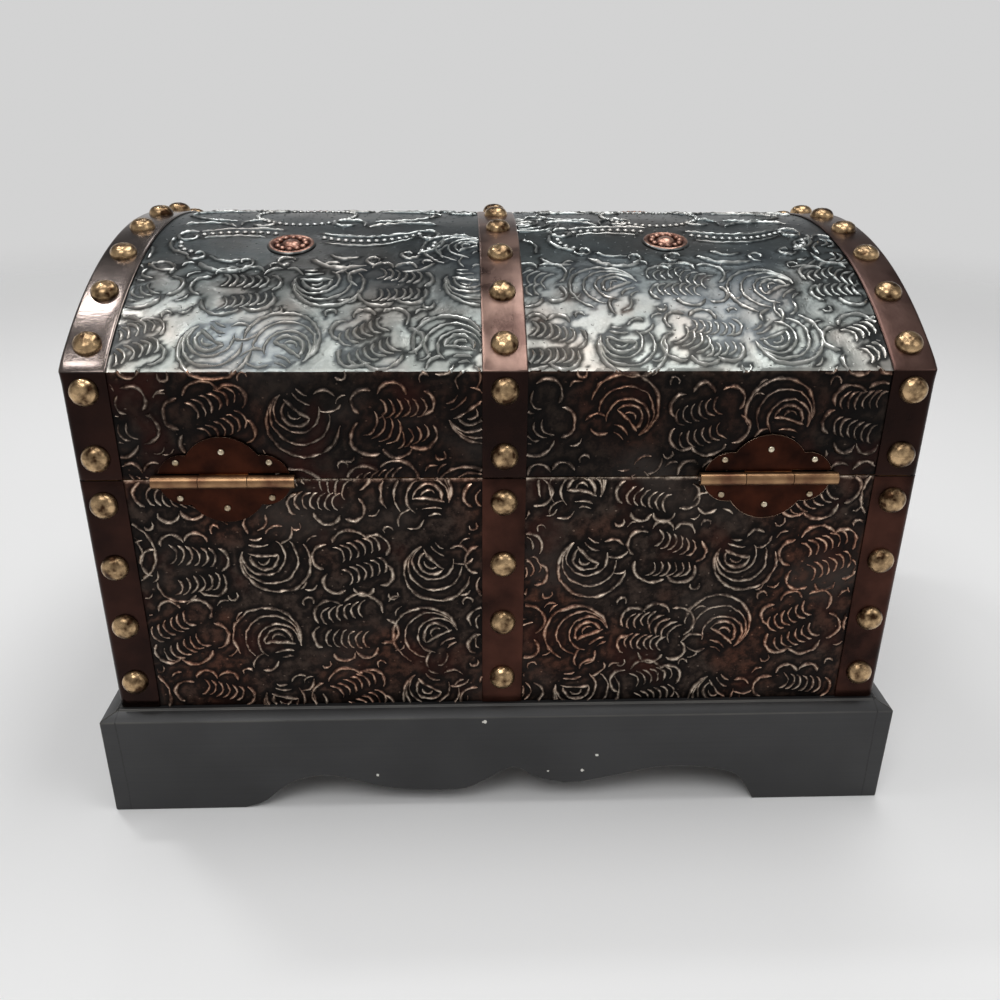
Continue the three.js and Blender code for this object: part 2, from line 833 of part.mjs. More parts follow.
// The lid's cover laid flat runs from the back seam up the rail, over the dome and down in front.
const coverRadius = domeRadius + coverOuter;
const coverHalfDepth = halfCaseDepth + coverOuter;
const coverReach = Math.asin(coverHalfDepth / coverRadius);
const coverRail = domeCentre + coverRadius * Math.cos(coverReach) - lidBottom;
const coverArc = 2 * coverReach * coverRadius;
const coverRun = 2 * coverRail + coverArc;
const coverCrown = coverRun / 2;

function layOverLid(middle) {
  return (u, v, lift) => {
    const x = middle - u;
    const fromSeam = Math.min(v, coverRun - v);
    const back = v < coverCrown ? 1 : -1;
    if (fromSeam < coverRail) {
      return new THREE.Vector3(x, back * (coverHalfDepth + lift), lidBottom + fromSeam);
    }
    const angle = coverReach - (v - coverRail) / coverRadius;
    const radius = coverRadius + lift;
    return new THREE.Vector3(x, radius * Math.sin(angle), domeCentre + radius * Math.cos(angle));
  };
}

// Half a medallion, from one rosette to the crown: bows below and above the rosette.
function medallionLines(u, v) {
  const corner = ([across, up]) => [u + across * medallionReach, v + up * medallionReach];
  const { left, right, low, high } = medallionShares;
  return [
    bow(corner(left), corner(low), -bowDepth),
    bow(corner(low), corner(right), -bowDepth),
    bow(corner(left), corner(high), bowDepth),
    bow(corner(high), corner(right), bowDepth),
  ];
}

// A rosette on the dome, an angle from its crown: a low flat boss.
function rosette(x, angle) {
  const profile = [
    new THREE.Vector2(0, -ridgeSink),
    new THREE.Vector2(rosetteRadius, -ridgeSink),
    new THREE.Vector2(rosetteRadius, ridgeSink),
    new THREE.Vector2(rosetteRadius - rosetteRise, rosetteRise),
    new THREE.Vector2(0, rosetteRise),
  ];
  const geometry = new THREE.LatheGeometry(profile, smallSides);
  geometry.translate(0, coverRadius, 0).rotateX(Math.PI / 2 - angle);
  return solid(geometry.translate(x, 0, domeCentre));
}

// The relief of one lid bay: motifs round a medallion that is the same in front and behind.
function lidBayRelief([acrossShare, upShare]) {
  const rosetteX = acrossShare * halfBoxWidth;
  const rosetteRun = upShare * coverArc;
  const halfBay = (bayHalfWidth - middleGap) / 2;
  const middle = Math.sign(rosetteX) * (middleGap + halfBay);
  const lay = layOverLid(middle);
  const coreU = middle - rosetteX;
  const coreV = coverRail + rosetteRun;
  const clear = (u, v) => Math.hypot((u - coreU) / clearAcross, (v - coverCrown) / clearAlong) < 1;
  const far = (points) => points.map(([u, v]) => [u, coverRun - v]);
  const frame = medallionLines(coreU, coreV);
  const lines = [
    ...motifLines(2 * halfBay, coverRun, clear),
    ...frame,
    ...frame.map(far),
    openRing(coreU, coverCrown, crownRingRadius, 0, fanSteps + cloudSteps),
  ];
  const window = lidBand(coverInner, ridgeTop, middle - halfBay, middle + halfBay);
  const angle = coverReach - rosetteRun / coverRadius;
  return joinAll([
    joinAll(lines.map((points) => ridge(points, lay))).intersect(window),
    rosette(rosetteX, angle),
    rosette(rosetteX, -angle),
  ]);
}

// Embossed sheets on the lid: one over rails and dome, one on each end
const seamRoom = block(
  -boxWidth,
  boxWidth,
  -boxDepth,
  boxDepth,
  lidBottom - cutOverrun,
  lidBottom + ridgeMargin,
);
const lidRelief = joinAll(rosetteShares.map(lidBayRelief)).subtract(hingeRoom().add(seamRoom));
const overallSheet = lidBand(coverInner, coverOuter, -sheetHalfWidth, sheetHalfWidth);
const lidSheet = overallSheet.add(lidRelief).subtract(upperNailHoles);
piece("lid_sheet", lidSheet, makeFinish.embossedSheet, lid);
const endSheetView = new THREE.Shape(lidOffsetView(-cornerRadius, lidBottom).reverse());
const endBayView = new THREE.Shape(
  lidEndView(
    bayHalfDepth,
    domeRadius + strapOuter - archFlange - ridgeMargin,
    lidBottom + ridgeMargin,
  ).reverse(),
);
const endBay = solid(alongX(endBayView, halfCaseWidth + coverInner, halfCaseWidth + ridgeTop));
const endBayLength = railHeight + domeRise + strapOuter - archFlange - lidBottom;
const endBayRelief = uprightRelief(
  2 * bayHalfDepth,
  halfCaseWidth,
  lidBottom,
  lidBottom + endBayLength,
  endBay.rotate([0, 0, 90]),
);
const endSheet = solid(
  alongX(endSheetView, halfCaseWidth + coverInner, halfCaseWidth + coverOuter),
).add(endBayRelief.rotate([0, 0, -90]));
piece("lid_sheet_right", endSheet, makeFinish.embossedSheet, lid);
piece("lid_sheet_left", endSheet.rotate([0, 0, 180]), makeFinish.embossedSheet, lid);

// End straps of the lid: over the dome beside each end, folded down over the end's edge
const endWindow = solid(
  alongX(
    new THREE.Shape(
      lidEndView(
        halfBoxDepth - strapWidth,
        domeRadius + strapOuter - archFlange,
        lidBottom - cutOverrun,
      ).reverse(),
    ),
    -halfBoxWidth - cutOverrun,
    halfBoxWidth + cutOverrun,
  ),
);
const besideEnd = block(
  halfBoxWidth - strapWidth,
  halfBoxWidth + cutOverrun,
  -halfBoxDepth - cutOverrun,
  halfBoxDepth + cutOverrun,
  -cutOverrun,
  railHeight + domeRise + cutOverrun,
);
const endBand = lidBlock(strapOuter, lidBottom)
  .intersect(besideEnd)
  .subtract(lidBlock(strapInner, lidBottom - cutOverrun))
  .subtract(endWindow);
const endStrapStuds = railStudHeights.flatMap((z) =>
  [1, -1].map((sideY) =>
    stud(
      halfBoxWidth - studInset,
      sideY * halfBoxDepth,
      z,
      new THREE.Vector3(0, sideY, 0),
    ),
  ),
);
const endStrap = joinAll([
  endBand,
  ...endStrapStuds,
  ...domeStuds(halfBoxWidth - studInset),
]);
piece("lid_strap_right", endStrap, makeFinish.copperStrap, lid);
piece("lid_strap_left", endStrap.mirror([1, 0, 0]), makeFinish.copperStrap, lid);

// Centre strap of the lid: its lowest stud in front gives way to the hook's plate
const centreBand = lidBand(strapInner, strapOuter, -strapWidth / 2, strapWidth / 2);
const [upperRailStud, lowerRailStud] = railStudHeights;
const centreStuds = [
  stud(0, halfBoxDepth, upperRailStud, new THREE.Vector3(0, 1, 0)),
  stud(0, halfBoxDepth, lowerRailStud, new THREE.Vector3(0, 1, 0)),
  stud(0, -halfBoxDepth, upperRailStud, new THREE.Vector3(0, -1, 0)),
];
piece(
  "lid_strap_center",
  joinAll([centreBand, ...centreStuds, ...domeStuds(0)]),
  makeFinish.copperStrap,
  lid,
);

// Hinges

// A leaf with lobes upward, its knuckles on the pin's axis at the origin, the box towards -Y.
function hingeLeaf(knuckles) {
  const inner = -barrelRadius;
  const outer = inner + leafThickness;
  const lobe = (radius, x, z) => barAlongY(radius, x, z, inner, outer, lobeSides);
  const lobes = joinAll([
    lobe(crownLobeRadius, 0, crownLobeLift),
    lobe(sideLobeRadius, -sideLobeSpread, 0),
    lobe(sideLobeRadius, sideLobeSpread, 0),
  ]);
  const foot = barrelRadius + leafClear;
  const above = block(-barrelLength, barrelLength, -cutOverrun, cutOverrun, foot, boxDepth);
  let leaf = lobes.intersect(above);
  const tabReach = sideLobeSpread + sideLobeRadius - leafThickness;
  for (const [low, high] of knuckles) {
    const start = Math.max(low, -tabReach);
    const end = Math.min(high, tabReach);
    const tab = block(start, end, inner, outer, 0, foot + leafThickness);
    leaf = leaf.add(tab).add(barAlongX(barrelRadius, low, high, roundSides));
  }
  leaf = leaf.subtract(barAlongX(boreRadius, -barrelLength, barrelLength, roundSides));
  for (const [x, lift] of leafNails) {
    const radius = nailShankRadius + fitGap;
    leaf = leaf.subtract(
      barAlongY(radius, x, lift, inner - cutOverrun, outer + cutOverrun, smallSides),
    );
  }
  return leaf;
}

const halfMiddle = (barrelLength * middleKnuckleShare) / 2;
const halfBarrel = barrelLength / 2;
const upperLeaf = hingeLeaf([[-halfMiddle, halfMiddle]]);
const lowerLeaf = hingeLeaf([
  [-halfBarrel, -halfMiddle - knuckleGap],
  [halfMiddle + knuckleGap, halfBarrel],
]);

// A nail with a domed head: its shank runs back through leaf and sheet into the board
const nailLength = fitGap + leafThickness + strapInner + nailBite;
const nailShoulderRadius = nailHeadRadius * studShoulderShare;
const nailShoulderHeight = nailHeadHeight * studShoulderHeightShare;
const nail = solid(
  new THREE.LatheGeometry(
    [
      new THREE.Vector2(0, -nailLength),
      new THREE.Vector2(nailShankRadius, -nailLength),
      new THREE.Vector2(nailShankRadius, 0),
      new THREE.Vector2(nailHeadRadius, 0),
      new THREE.Vector2(nailShoulderRadius, nailShoulderHeight),
      new THREE.Vector2(0, nailHeadHeight),
    ],
    smallSides,
  ),
);
const nailSeat = leafThickness + fitGap - barrelRadius;
const nailNames = ["left", "middle", "right"];

for (const [side, x] of Object.entries(hingePlaces)) {
  const lower = piece("hinge_" + side + "_lower_leaf", lowerLeaf, makeFinish.hingeLeaf, box);
  lower.position.set(x, hingeAxisY, bodyHeight);
  lower.rotation.y = Math.PI;
  const upper = piece("hinge_" + side + "_upper_leaf", upperLeaf, makeFinish.hingeLeaf, lid);
  upper.position.set(x, hingeAxisY, 0);
  const pinHalf = halfBarrel + pinProud;
  const pinShape = barAlongX(pinRadius, -pinHalf, pinHalf, roundSides);
  const pin = piece("hinge_" + side + "_pin", pinShape, makeFinish.pinSteel, box);
  pin.position.set(x, hingeAxisY, bodyHeight);
  leafNails.forEach(([nailX, lift], place) => {
    const tail = side + "_" + nailNames[place];
    const upperNail = piece("hinge_nail_upper_" + tail, nail, makeFinish.brass, lid);
    upperNail.position.set(x + nailX, hingeAxisY + nailSeat, lift);
    const lowerNail = piece("hinge_nail_lower_" + tail, nail, makeFinish.brass, box);
    lowerNail.position.set(x + nailX, hingeAxisY + nailSeat, bodyHeight - lift);
  });
}

// Swing hook, in front of the centre strap
const plateInner = halfBoxDepth + fitGap;
const plateOuter = plateInner + plateThickness;
const hookInner = plateOuter + nailHeadHeight + 2 * fitGap;
const hookOuter = hookInner + hookThickness;
const plateOutline = roundedRectangle(plateWidth, plateHeight, plateRadius);

// A plate with a domed nail head near each side and a hole for what is riveted into it.
function latchPlate(holeX, holeZ, holeRadius) {
  const head = [
    new THREE.Vector2(0, -plateThickness / 2),
    new THREE.Vector2(nailHeadRadius, -plateThickness / 2),
    new THREE.Vector2(nailHeadRadius, 0),
    new THREE.Vector2(nailShoulderRadius, nailShoulderHeight),
    new THREE.Vector2(0, nailHeadHeight),
  ];
  const plate = solid(alongY(plateOutline, -plateOuter, -plateInner));
  const heads = [-plateNailSpread, plateNailSpread].map((x) => {
    const geometry = new THREE.LatheGeometry(head, smallSides).rotateX(Math.PI);
    return solid(geometry.translate(x, -plateOuter, -plateNailDrop));
  });
  const hole = barAlongY(holeRadius, holeX, holeZ, -plateOuter - cutOverrun, 0, roundSides);
  return joinAll([plate, ...heads]).subtract(hole);
}

const lidPlateHeight = plateSeamInset + plateHeight / 2;
const pivotHole = pivotShankRadius + fitGap;
const lidPlateShape = latchPlate(pivotSide, pivotLift - lidPlateHeight, pivotHole);
const lidPlate = piece("latch_lid_plate", lidPlateShape, makeFinish.brass, lid);
lidPlate.position.z = lidPlateHeight;

const pegX = pivotSide - hookReach * Math.sin(hookSwing);
const pegZ = pivotLift - hookReach * Math.cos(hookSwing);
const bodyPlateHeight = -plateSeamInset - plateHeight / 2;
const pegHole = pegRadius + fitGap;
const bodyPlateShape = latchPlate(pegX, pegZ - bodyPlateHeight, pegHole);
const bodyPlate = piece("latch_body_plate", bodyPlateShape, makeFinish.brass, box);
bodyPlate.position.z = bodyHeight + bodyPlateHeight;

// A headed rivet along -Y: its foot is in the plate, its collar holds the hook off the nail heads.
function rivet(shankRadius, headRadius, headHeight) {
  const seat = plateInner + fitGap;
  const collarStart = plateOuter + fitGap;
  const collarEnd = hookInner - fitGap;
  const headStart = hookOuter + fitGap;
  const shoulder = headStart + headHeight * studShoulderHeightShare;
  const profile = [
    new THREE.Vector2(0, seat),
    new THREE.Vector2(shankRadius, seat),
    new THREE.Vector2(shankRadius, collarStart),
    new THREE.Vector2(shankRadius + collarWidth, collarStart),
    new THREE.Vector2(shankRadius + collarWidth, collarEnd),
    new THREE.Vector2(shankRadius, collarEnd),
    new THREE.Vector2(shankRadius, headStart),
    new THREE.Vector2(headRadius, headStart),
    new THREE.Vector2(headRadius * studShoulderShare, shoulder),
    new THREE.Vector2(0, headStart + headHeight),
  ];
  return solid(new THREE.LatheGeometry(profile, roundSides).rotateX(Math.PI));
}
const pivotShape = rivet(pivotShankRadius, pivotHeadRadius, pivotHeadHeight);
piece("latch_pivot", pivotShape, makeFinish.brass, lid).position.set(pivotSide, 0, pivotLift);
const pegShape = rivet(pegRadius, knobRadius, knobHeight);
piece("latch_peg", pegShape, makeFinish.brass, box).position.set(pegX, 0, bodyHeight + pegZ);

// The hook hangs from the pivot: an eye, an arm and a round head with a curved mouth towards -X.
function swingHook() {
  const disc = (radius, x, z, sides) => barAlongY(radius, x, z, -hookOuter, -hookInner, sides);
  const through = (radius, x, z, sides) =>
    barAlongY(radius, x, z, -hookOuter - cutOverrun, -hookInner + cutOverrun, sides);
  const mouth = pegRadius + pegClear;
  const arm = block(
    -hookArmWidth / 2,
    hookArmWidth / 2,
    -hookOuter,
    -hookInner,
    -hookReach,
    0,
  );
  const body = joinAll([
    disc(hookEyeRadius, 0, 0, roundSides),
    arm,
    disc(hookHeadRadius, 0, -hookReach, lobeSides / 2),
  ]);
  const ring = through(hookReach + mouth, 0, 0, lobeSides * 2).subtract(
    through(hookReach - mouth, 0, 0, lobeSides * 2),
  );
  const openSide = block(
    -cutOverrun,
    0,
    -hookOuter - cutOverrun,
    -hookInner + cutOverrun,
    -2 * hookReach,
    0,
  );
  return body
    .subtract(ring.intersect(openSide))
    .subtract(through(mouth, 0, -hookReach, roundSides))
    .subtract(through(pivotShankRadius + pivotClear, 0, 0, roundSides));
}
const hook = piece("latch_hook", swingHook(), makeFinish.brass, lid);
hook.position.set(pivotSide, 0, pivotLift);

export default trunk;
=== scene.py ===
import math
from functools import partial

import bmesh
import bpy
import numpy as np
from mathutils import Matrix, Vector


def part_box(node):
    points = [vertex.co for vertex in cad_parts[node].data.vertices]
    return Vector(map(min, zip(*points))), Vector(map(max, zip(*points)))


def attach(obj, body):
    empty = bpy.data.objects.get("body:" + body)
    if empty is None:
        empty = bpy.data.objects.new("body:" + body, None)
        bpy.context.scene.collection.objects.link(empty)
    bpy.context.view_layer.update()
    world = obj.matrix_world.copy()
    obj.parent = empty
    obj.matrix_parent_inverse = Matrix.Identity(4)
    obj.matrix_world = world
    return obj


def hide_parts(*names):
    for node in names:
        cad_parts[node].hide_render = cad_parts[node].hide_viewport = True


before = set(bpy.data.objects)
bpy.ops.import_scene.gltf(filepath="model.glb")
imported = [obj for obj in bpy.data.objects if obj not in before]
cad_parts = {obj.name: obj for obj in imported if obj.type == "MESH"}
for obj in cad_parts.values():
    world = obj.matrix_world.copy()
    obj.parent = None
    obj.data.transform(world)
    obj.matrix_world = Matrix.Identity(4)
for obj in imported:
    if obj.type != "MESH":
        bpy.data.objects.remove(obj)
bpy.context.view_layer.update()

# Plinth: four pine aprons mitred round the foot, sawn to a scallop below and run to a stepped ledge
# above, over four glued corner blocks. Brushed with charcoal paint, which dries satin, wears paler
# on the arrises and is nicked through to its white undercoat here and there.
MM = 0.001
PAINT_DARK = "#1a1a1b"
PAINT_PALE = "#29292a"
PAINT_WORN = "#4f4d49"
PAINT_NICK = "#d8d5cd"
PAINT_CRACK = "#0b0b0b"
PAINT_PLACES = (0.45, 0.85)
PAINT_CLOUD = 55
BRUSH_MARK = 1.3
BRUSH_STROKE = 160
BRUSH_SHADE = 0.35
BRUSH_DEPTH = 0.06
# Nicks on the back apron: across, up and reach
NICKS = [(8.7, 51.7, 1.1), (63.3, 19.5, 0.8), (-48.5, 30, 0.8), (-41.3, 20.5, 0.9), (-23.8, 20.3, 0.5)]
NICK_RAGGED = 0.8
PLINTH_BACK = 148
JOINT_PLACE = 188.6
CRACK_STRAY = 3
# A range is two values taken in and the two that they give, in the order of a Map Range node
CRACK_WIDTH = (0.35, 0.6, 0.1 * MM, 0.45 * MM)
PAINT_ROUGH = (0, 1, 0.5, 0.34)
PLINTH_ARRIS = 0.7
ARRIS_ANGLE = 30
WELD = 0.001 * MM
FLAT_ANGLE = 1


def linear(hex_colour):
    """An sRGB hex colour as the linear values that a shader takes."""
    values = []
    for start in (1, 3, 5):
        value = int(hex_colour[start : start + 2], 16) / 255
        values.append(value / 12.92 if value <= 0.04045 else ((value + 0.055) / 1.055) ** 2.4)
    return (*values, 1.0)


def feed(tree, socket, given):
    """An input that takes what it is given: a link, a list of links, a hex colour or a value."""
    if isinstance(given, bpy.types.NodeSocket):
        given = [given]
    if isinstance(given, list):
        for source in given:
            tree.links.new(source, socket)
    elif isinstance(given, str) and given.startswith("#"):
        socket.default_value = linear(given)
    else:
        socket.default_value = given


def add(tree, kind, *inputs, stops=(), **settings):
    """A node, with its settings, its live inputs in order or by name, and the stops of its ramp.

    What comes back is its first live output, which knows its node.
    """
    node = tree.nodes.new(kind)
    for key, value in settings.items():
        setattr(node, key, value)
    live = [socket for socket in node.inputs if socket.enabled]
    for place, given in enumerate(inputs):
        if isinstance(given, dict):
            for key, value in given.items():
                feed(tree, node.inputs[key], value)
        else:
            feed(tree, live[place], given)
    stops = list(stops)
    for _ in stops[2:]:
        node.color_ramp.elements.new(0.5)
    if stops:
        for stop, (at, colour) in zip(node.color_ramp.elements, stops):
            stop.position = at
            stop.color = linear(colour)
    return next((socket for socket in node.outputs if socket.enabled), None)


def per_mm(size):
    """The scale of a pattern whose features are that many millimetres apart."""
    return 1 / (size * MM)


def new_finish(name):
    """A new material, what adds its nodes, and its coordinates."""
    material = bpy.data.materials.new(name)
    material.use_nodes = True
    node = partial(add, material.node_tree)
    return material, node, node("ShaderNodeTexCoord").node.outputs["Object"]


def dressed(material, **values):
    """A material whose shader takes these values, plain ones or the ends of its patterns."""
    shader = material.node_tree.nodes["Principled BSDF"]
    for key, value in values.items():
        feed(material.node_tree, shader.inputs[key.replace("_", " ")], value)
    return material


def charcoal_paint(name, dark, pale):
    """Satin paint: clouded charcoal with level brush marks, dark open joints and white nicks."""
    material, node, place = new_finish(name)
    x, y, z = node("ShaderNodeSeparateXYZ", place).node.outputs
    cloud = node("ShaderNodeTexNoise", {"Vector": place, "Scale": per_mm(PAINT_CLOUD), "Detail": 5})
    along = node("ShaderNodeMath", x, y, operation="ADD")
    along = node("ShaderNodeMath", along, BRUSH_MARK / BRUSH_STROKE, operation="MULTIPLY")
    stroke = node("ShaderNodeCombineXYZ", {0: along, 2: z})
    marks = node("ShaderNodeTexNoise", {"Vector": stroke, "Scale": per_mm(BRUSH_MARK)})
    shade = node("ShaderNodeMath", marks, BRUSH_SHADE, cloud, operation="MULTIPLY_ADD")
    colour = node("ShaderNodeValToRGB", shade, stops=zip(PAINT_PLACES, (dark, pale)))
    joint = node("ShaderNodeMath", cloud, CRACK_STRAY * MM, JOINT_PLACE * MM, operation="MULTIPLY_ADD")
    sideways = node("ShaderNodeMath", x, operation="ABSOLUTE")
    from_joint = node("ShaderNodeMath", sideways, joint, operation="SUBTRACT")
    from_joint = node("ShaderNodeMath", from_joint, operation="ABSOLUTE")
    width = node("ShaderNodeMapRange", marks, *CRACK_WIDTH)
    crack = node("ShaderNodeMath", from_joint, width, operation="LESS_THAN")
    colour = node("ShaderNodeMix", crack, colour, PAINT_CRACK, data_type="RGBA")
    ragged = node("ShaderNodeTexNoise", {"Vector": place, "Scale": per_mm(NICK_RAGGED)})
    nick = 0
    for across, up, reach in NICKS:
        middle = (across * MM, PLINTH_BACK * MM, up * MM)
        apart = node("ShaderNodeVectorMath", place, middle, operation="DISTANCE")
        edge = node("ShaderNodeMath", ragged, 2 * reach * MM, operation="MULTIPLY")
        chipped = node("ShaderNodeMath", apart, edge, operation="LESS_THAN")
        nick = node("ShaderNodeMath", nick, chipped, operation="MAXIMUM")
    colour = node("ShaderNodeMix", nick, colour, PAINT_NICK, data_type="RGBA")
    rough = node("ShaderNodeMapRange", cloud, *PAINT_ROUGH)
    relief = node("ShaderNodeBump", {"Height": marks, "Distance": BRUSH_DEPTH * MM, "Strength": 0.6})
    return dressed(material, IOR=1.5, Base_Color=colour, Roughness=rough, Normal=relief)


def bake(piece):
    """A piece's modifiers made part of its mesh."""
    graph = bpy.context.evaluated_depsgraph_get()
    mesh = bpy.data.meshes.new_from_object(
        piece.evaluated_get(graph), preserve_all_data_layers=True, depsgraph=graph
    )
    piece.modifiers.clear()
    piece.data = mesh


def placed(name, mesh, body, nodes):
    """A mesh as a piece that rides on its body and stands for its CAD nodes, which it hides."""
    piece = bpy.data.objects.new(name, mesh)
    mesh.name = name
    bpy.context.scene.collection.objects.link(piece)
    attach(piece, body)
    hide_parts(*nodes)
    return piece


def welded(node):
    """The shape of a CAD solid, its loose triangles joined into whole faces."""
    shape = bmesh.new()
    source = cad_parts[node].data
    corners = [shape.verts.new(vertex.co) for vertex in source.vertices]
    for face in source.polygons:
        shape.faces.new([corners[i] for i in face.vertices])
    bmesh.ops.remove_doubles(shape, verts=shape.verts, dist=WELD)
    bmesh.ops.dissolve_limit(
        shape, angle_limit=math.radians(FLAT_ANGLE), verts=list(shape.verts), edges=list(shape.edges)
    )
    mesh = bpy.data.meshes.new(node)
    shape.to_mesh(mesh)
    shape.free()
    return mesh


def rounded(piece, arris, angle, segments=2, **settings):
    """A piece whose arrises sharper than an angle are rounded, for good."""
    rounding = piece.modifiers.new("arris", "BEVEL")
    rounding.width = arris * MM
    rounding.segments = segments
    rounding.limit_method = "ANGLE"
    rounding.angle_limit = math.radians(angle)
    for key, value in settings.items():
        setattr(rounding, key, value)
    bake(piece)


def softened(name, node, body, finishes, arris, segments=2):
    """A CAD solid with its arrises rounded. The last finish goes on the arrises."""
    mesh = welded(node)
    for finish in finishes:
        mesh.materials.append(finish)
    mesh.shade_smooth()
    piece = placed(name, mesh, body, [node])
    rounded(piece, arris, ARRIS_ANGLE, segments, harden_normals=True, material=len(finishes) - 1)


paint = charcoal_paint("brushed_charcoal_paint", PAINT_DARK, PAINT_PALE)
worn_paint = charcoal_paint("worn_charcoal_paint", PAINT_PALE, PAINT_WORN)
for side in ("front", "back", "left", "right"):
    softened(
        f"apron_{side}", f"plinth_apron_{side}", "trunk_box",
        [paint, worn_paint], PLINTH_ARRIS,
    )

# Case: pine boards glued at the corners over a thin bottom, and a lid of two arched ends, two rails
# and a bent dome panel. It is left bare under the metal, so only its edges at the seam and its
# underside show: sawn, yellow-brown, with the grain along each board.
PINE_TONES = [(0.35, "#6d4a2b"), (0.65, "#a97c4e")]
PINE_RING = 5
PINE_LENGTH_SHARE = 0.06
PINE_FURROW = 0.1


def sawn_pine():
    """Sawn pine: straight grain in two browns, dry and rough."""
    material, node, place = new_finish("sawn_pine")
    grain = node("ShaderNodeMapping", {"Vector": place, "Scale": (PINE_LENGTH_SHARE, 1, 1)})
    rings = node("ShaderNodeTexNoise", {"Vector": grain, "Scale": per_mm(PINE_RING), "Detail": 6})
    colour = node("ShaderNodeValToRGB", rings, stops=PINE_TONES)
    relief = node("ShaderNodeBump", {"Height": rings, "Distance": PINE_FURROW * MM})
    return dressed(material, IOR=1.5, Roughness=0.75, Base_Color=colour, Normal=relief)


pine = sawn_pine()
bare_boards = ["body_bottom", "lid_dome_panel"]
bare_boards += [f"lid_end_{side}" for side in ("left", "right")]
bare_boards += [f"lid_rail_{face}" for face in ("front", "back")]
bare_boards += [f"body_{side}_board" for side in ("front", "back", "left", "right")]
bare_boards += [f"plinth_block_{face}_{side}" for face in ("front", "back") for side in ("left", "right")]
for node in bare_boards:
    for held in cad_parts[node].material_slots:
        held.material = pine

# Linings: one sheet of black felt glued over the inside of the box and one inside the lid. The nap
# is short and matte, with faint clouds where it is rubbed, and it rounds over at its cut edges.
FELT_TONES = [(0.12, "#171416"), (0.42, "#2a2528")]
FELT_NAP = 0.9
FELT_PILE = 0.5
FELT_CLOUD = 30
FELT_ROUND = 0.4


def black_felt():
    """Wool felt: a matte black pile with a soft sheen and a fine woolly bump."""
    material, node, place = new_finish("black_wool_felt")
    nap = node("ShaderNodeTexNoise", {"Vector": place, "Scale": per_mm(FELT_NAP), "Detail": 4})
    cloud = node("ShaderNodeTexNoise", {"Vector": place, "Scale": per_mm(FELT_CLOUD), "Detail": 3})
    mixed = node("ShaderNodeMath", nap, cloud, operation="MULTIPLY")
    colour = node("ShaderNodeValToRGB", mixed, stops=FELT_TONES)
    relief = node("ShaderNodeBump", {"Height": nap, "Distance": FELT_PILE * MM})
    return dressed(
        material, Base_Color=colour, Roughness=0.95, Normal=relief, Sheen_Weight=0.25, Sheen_Roughness=0.6
    )


felt = black_felt()
softened("box_felt", "body_lining", "trunk_box", [felt], FELT_ROUND)
softened("lid_felt", "lid_lining", "lid", [felt], FELT_ROUND)

# Covers: thin sheet metal embossed with rows of scrolled clouds and fans, wrapped over the boards
# and tacked under the straps. The raised lines are rubbed back to copper on the upright faces, and
# dark oxide is left in the field and along the foot of each line. On the dome the sheet is pewter,
# painted paler and greyer there as a reflection of the light from above.
SHEET = 0.6
SHEET_OUT = 0.85
SHEET_TUCK = 3
SHEET_WELD = 0.01
CELL = 2.05
CASE_X = 188.1 * MM
CASE_Y = 138.1 * MM
BOX_BASE = 58 * MM
BODY_TOP = 179.7 * MM
SEAM = 180 * MM
LID_BASE = 180.3 * MM
DOME_CENTRE = 44.7 * MM
DOME_RADIUS = 230.3 * MM
STRAP = 20
MOTIF_ACROSS = 74
MOTIF_ALONG = 38
MOTIF_STRAY = (4 * MM, 2 * MM, 0)
MOTIF_LEAN = 0.16
MOTIF_SIZES = (1.02, 1.14)
# Raised lines: their steps, section, hand-cut stray, and how they thin out at their ends
LINE_STEP = 1.5
LINE_STEPS = 5
RIDGE_HALF = 1.15
RIDGE_RISE = 0.9
RIDGE_SINK = 0.2
RIDGE_SECTION = [(-1, -1), (-0.5, 0.62), (0, 1), (0.5, 0.62), (1, -1)]
RIDGE_TRIM = 0.3
WOBBLE = 0.9
WOBBLE_SPREAD = 6
NUDGE = 0.4
NUDGE_SPREAD = 2.6
TAPER = (9, 0.35)
PRESS_SPREAD = 3.2
PRESS = (0.34, 0.6, 0.5, 1.2)
# The field: puffed up round the lines, puckered, and flat at its edges and under the hinges
PUFF = (0.4 * MM, 4.5 * MM, 0.28 * MM, 0)
PUCKER = 0.4
PUCKER_SPREAD = 26
EDGE_FADE = 7
SEAT_RIM = 0.6
SEAT_SIDES = 36
FIELD_RUB = (1.3 * MM, 2.4 * MM, 0.06, 0.35)
BEAD_STEP = 3.7
BEAD_SIZE = 1.5
BEAD_SCALE = (1, 1, 0.85)
BEAD_RUB = (0, 0.6 * MM, 0, 1)
CRUMB_STEP = 4.2
CRUMB_SIZE = 0.75
CRUMB_CLEAR = 1.9
CRUMB_EDGE = 2
CRUMB_SCALES = ((0.4, 0.4, 0.25), (1.3, 0.9, 0.5))
CRUMB_RUB = (0, 0.3 * MM, 0.2, 0.7)
CRUMB_DENSITY = 60000

# Lobes of a pair of hinge leaves about the middle of the hinge: across, along and radius
LEAF_LOBES = [(0, 1.75, 18.75), (0, -1.75, 18.75), (17.5, 0, 12), (-17.5, 0, 12), (28, 0, 3.5), (-28, 0, 3.5)]
HINGE_PLACES = {"left": -120, "right": 125}

# Strokes in millimetres. Six numbers are a bent line: its two ends, its rise to the left and its
# weight. Seven are a scroll: its centre, first and last radius, first and last angle, and weight.
FAN_CORE = [
    (6, -5.4, -6.8, -2.4, -0.8, 1.15), (-0.4, -2.6, 6.3, 5.6, 176, -18, 1.15), (0, -2, 3, 2.6, 170, 20, 0.9),
]
FAN_FOOT = [
    (-3.6, -8, 4.2, -8.8, 0.9, 0.85), (-1.6, -11, 3.6, -11.4, 0.6, 0.8), (-8.4, -7.4, -15, -13.8, -2, 0.95),
    (-11.2, -15.4, -3.6, -12.6, -2, 0.95),
]
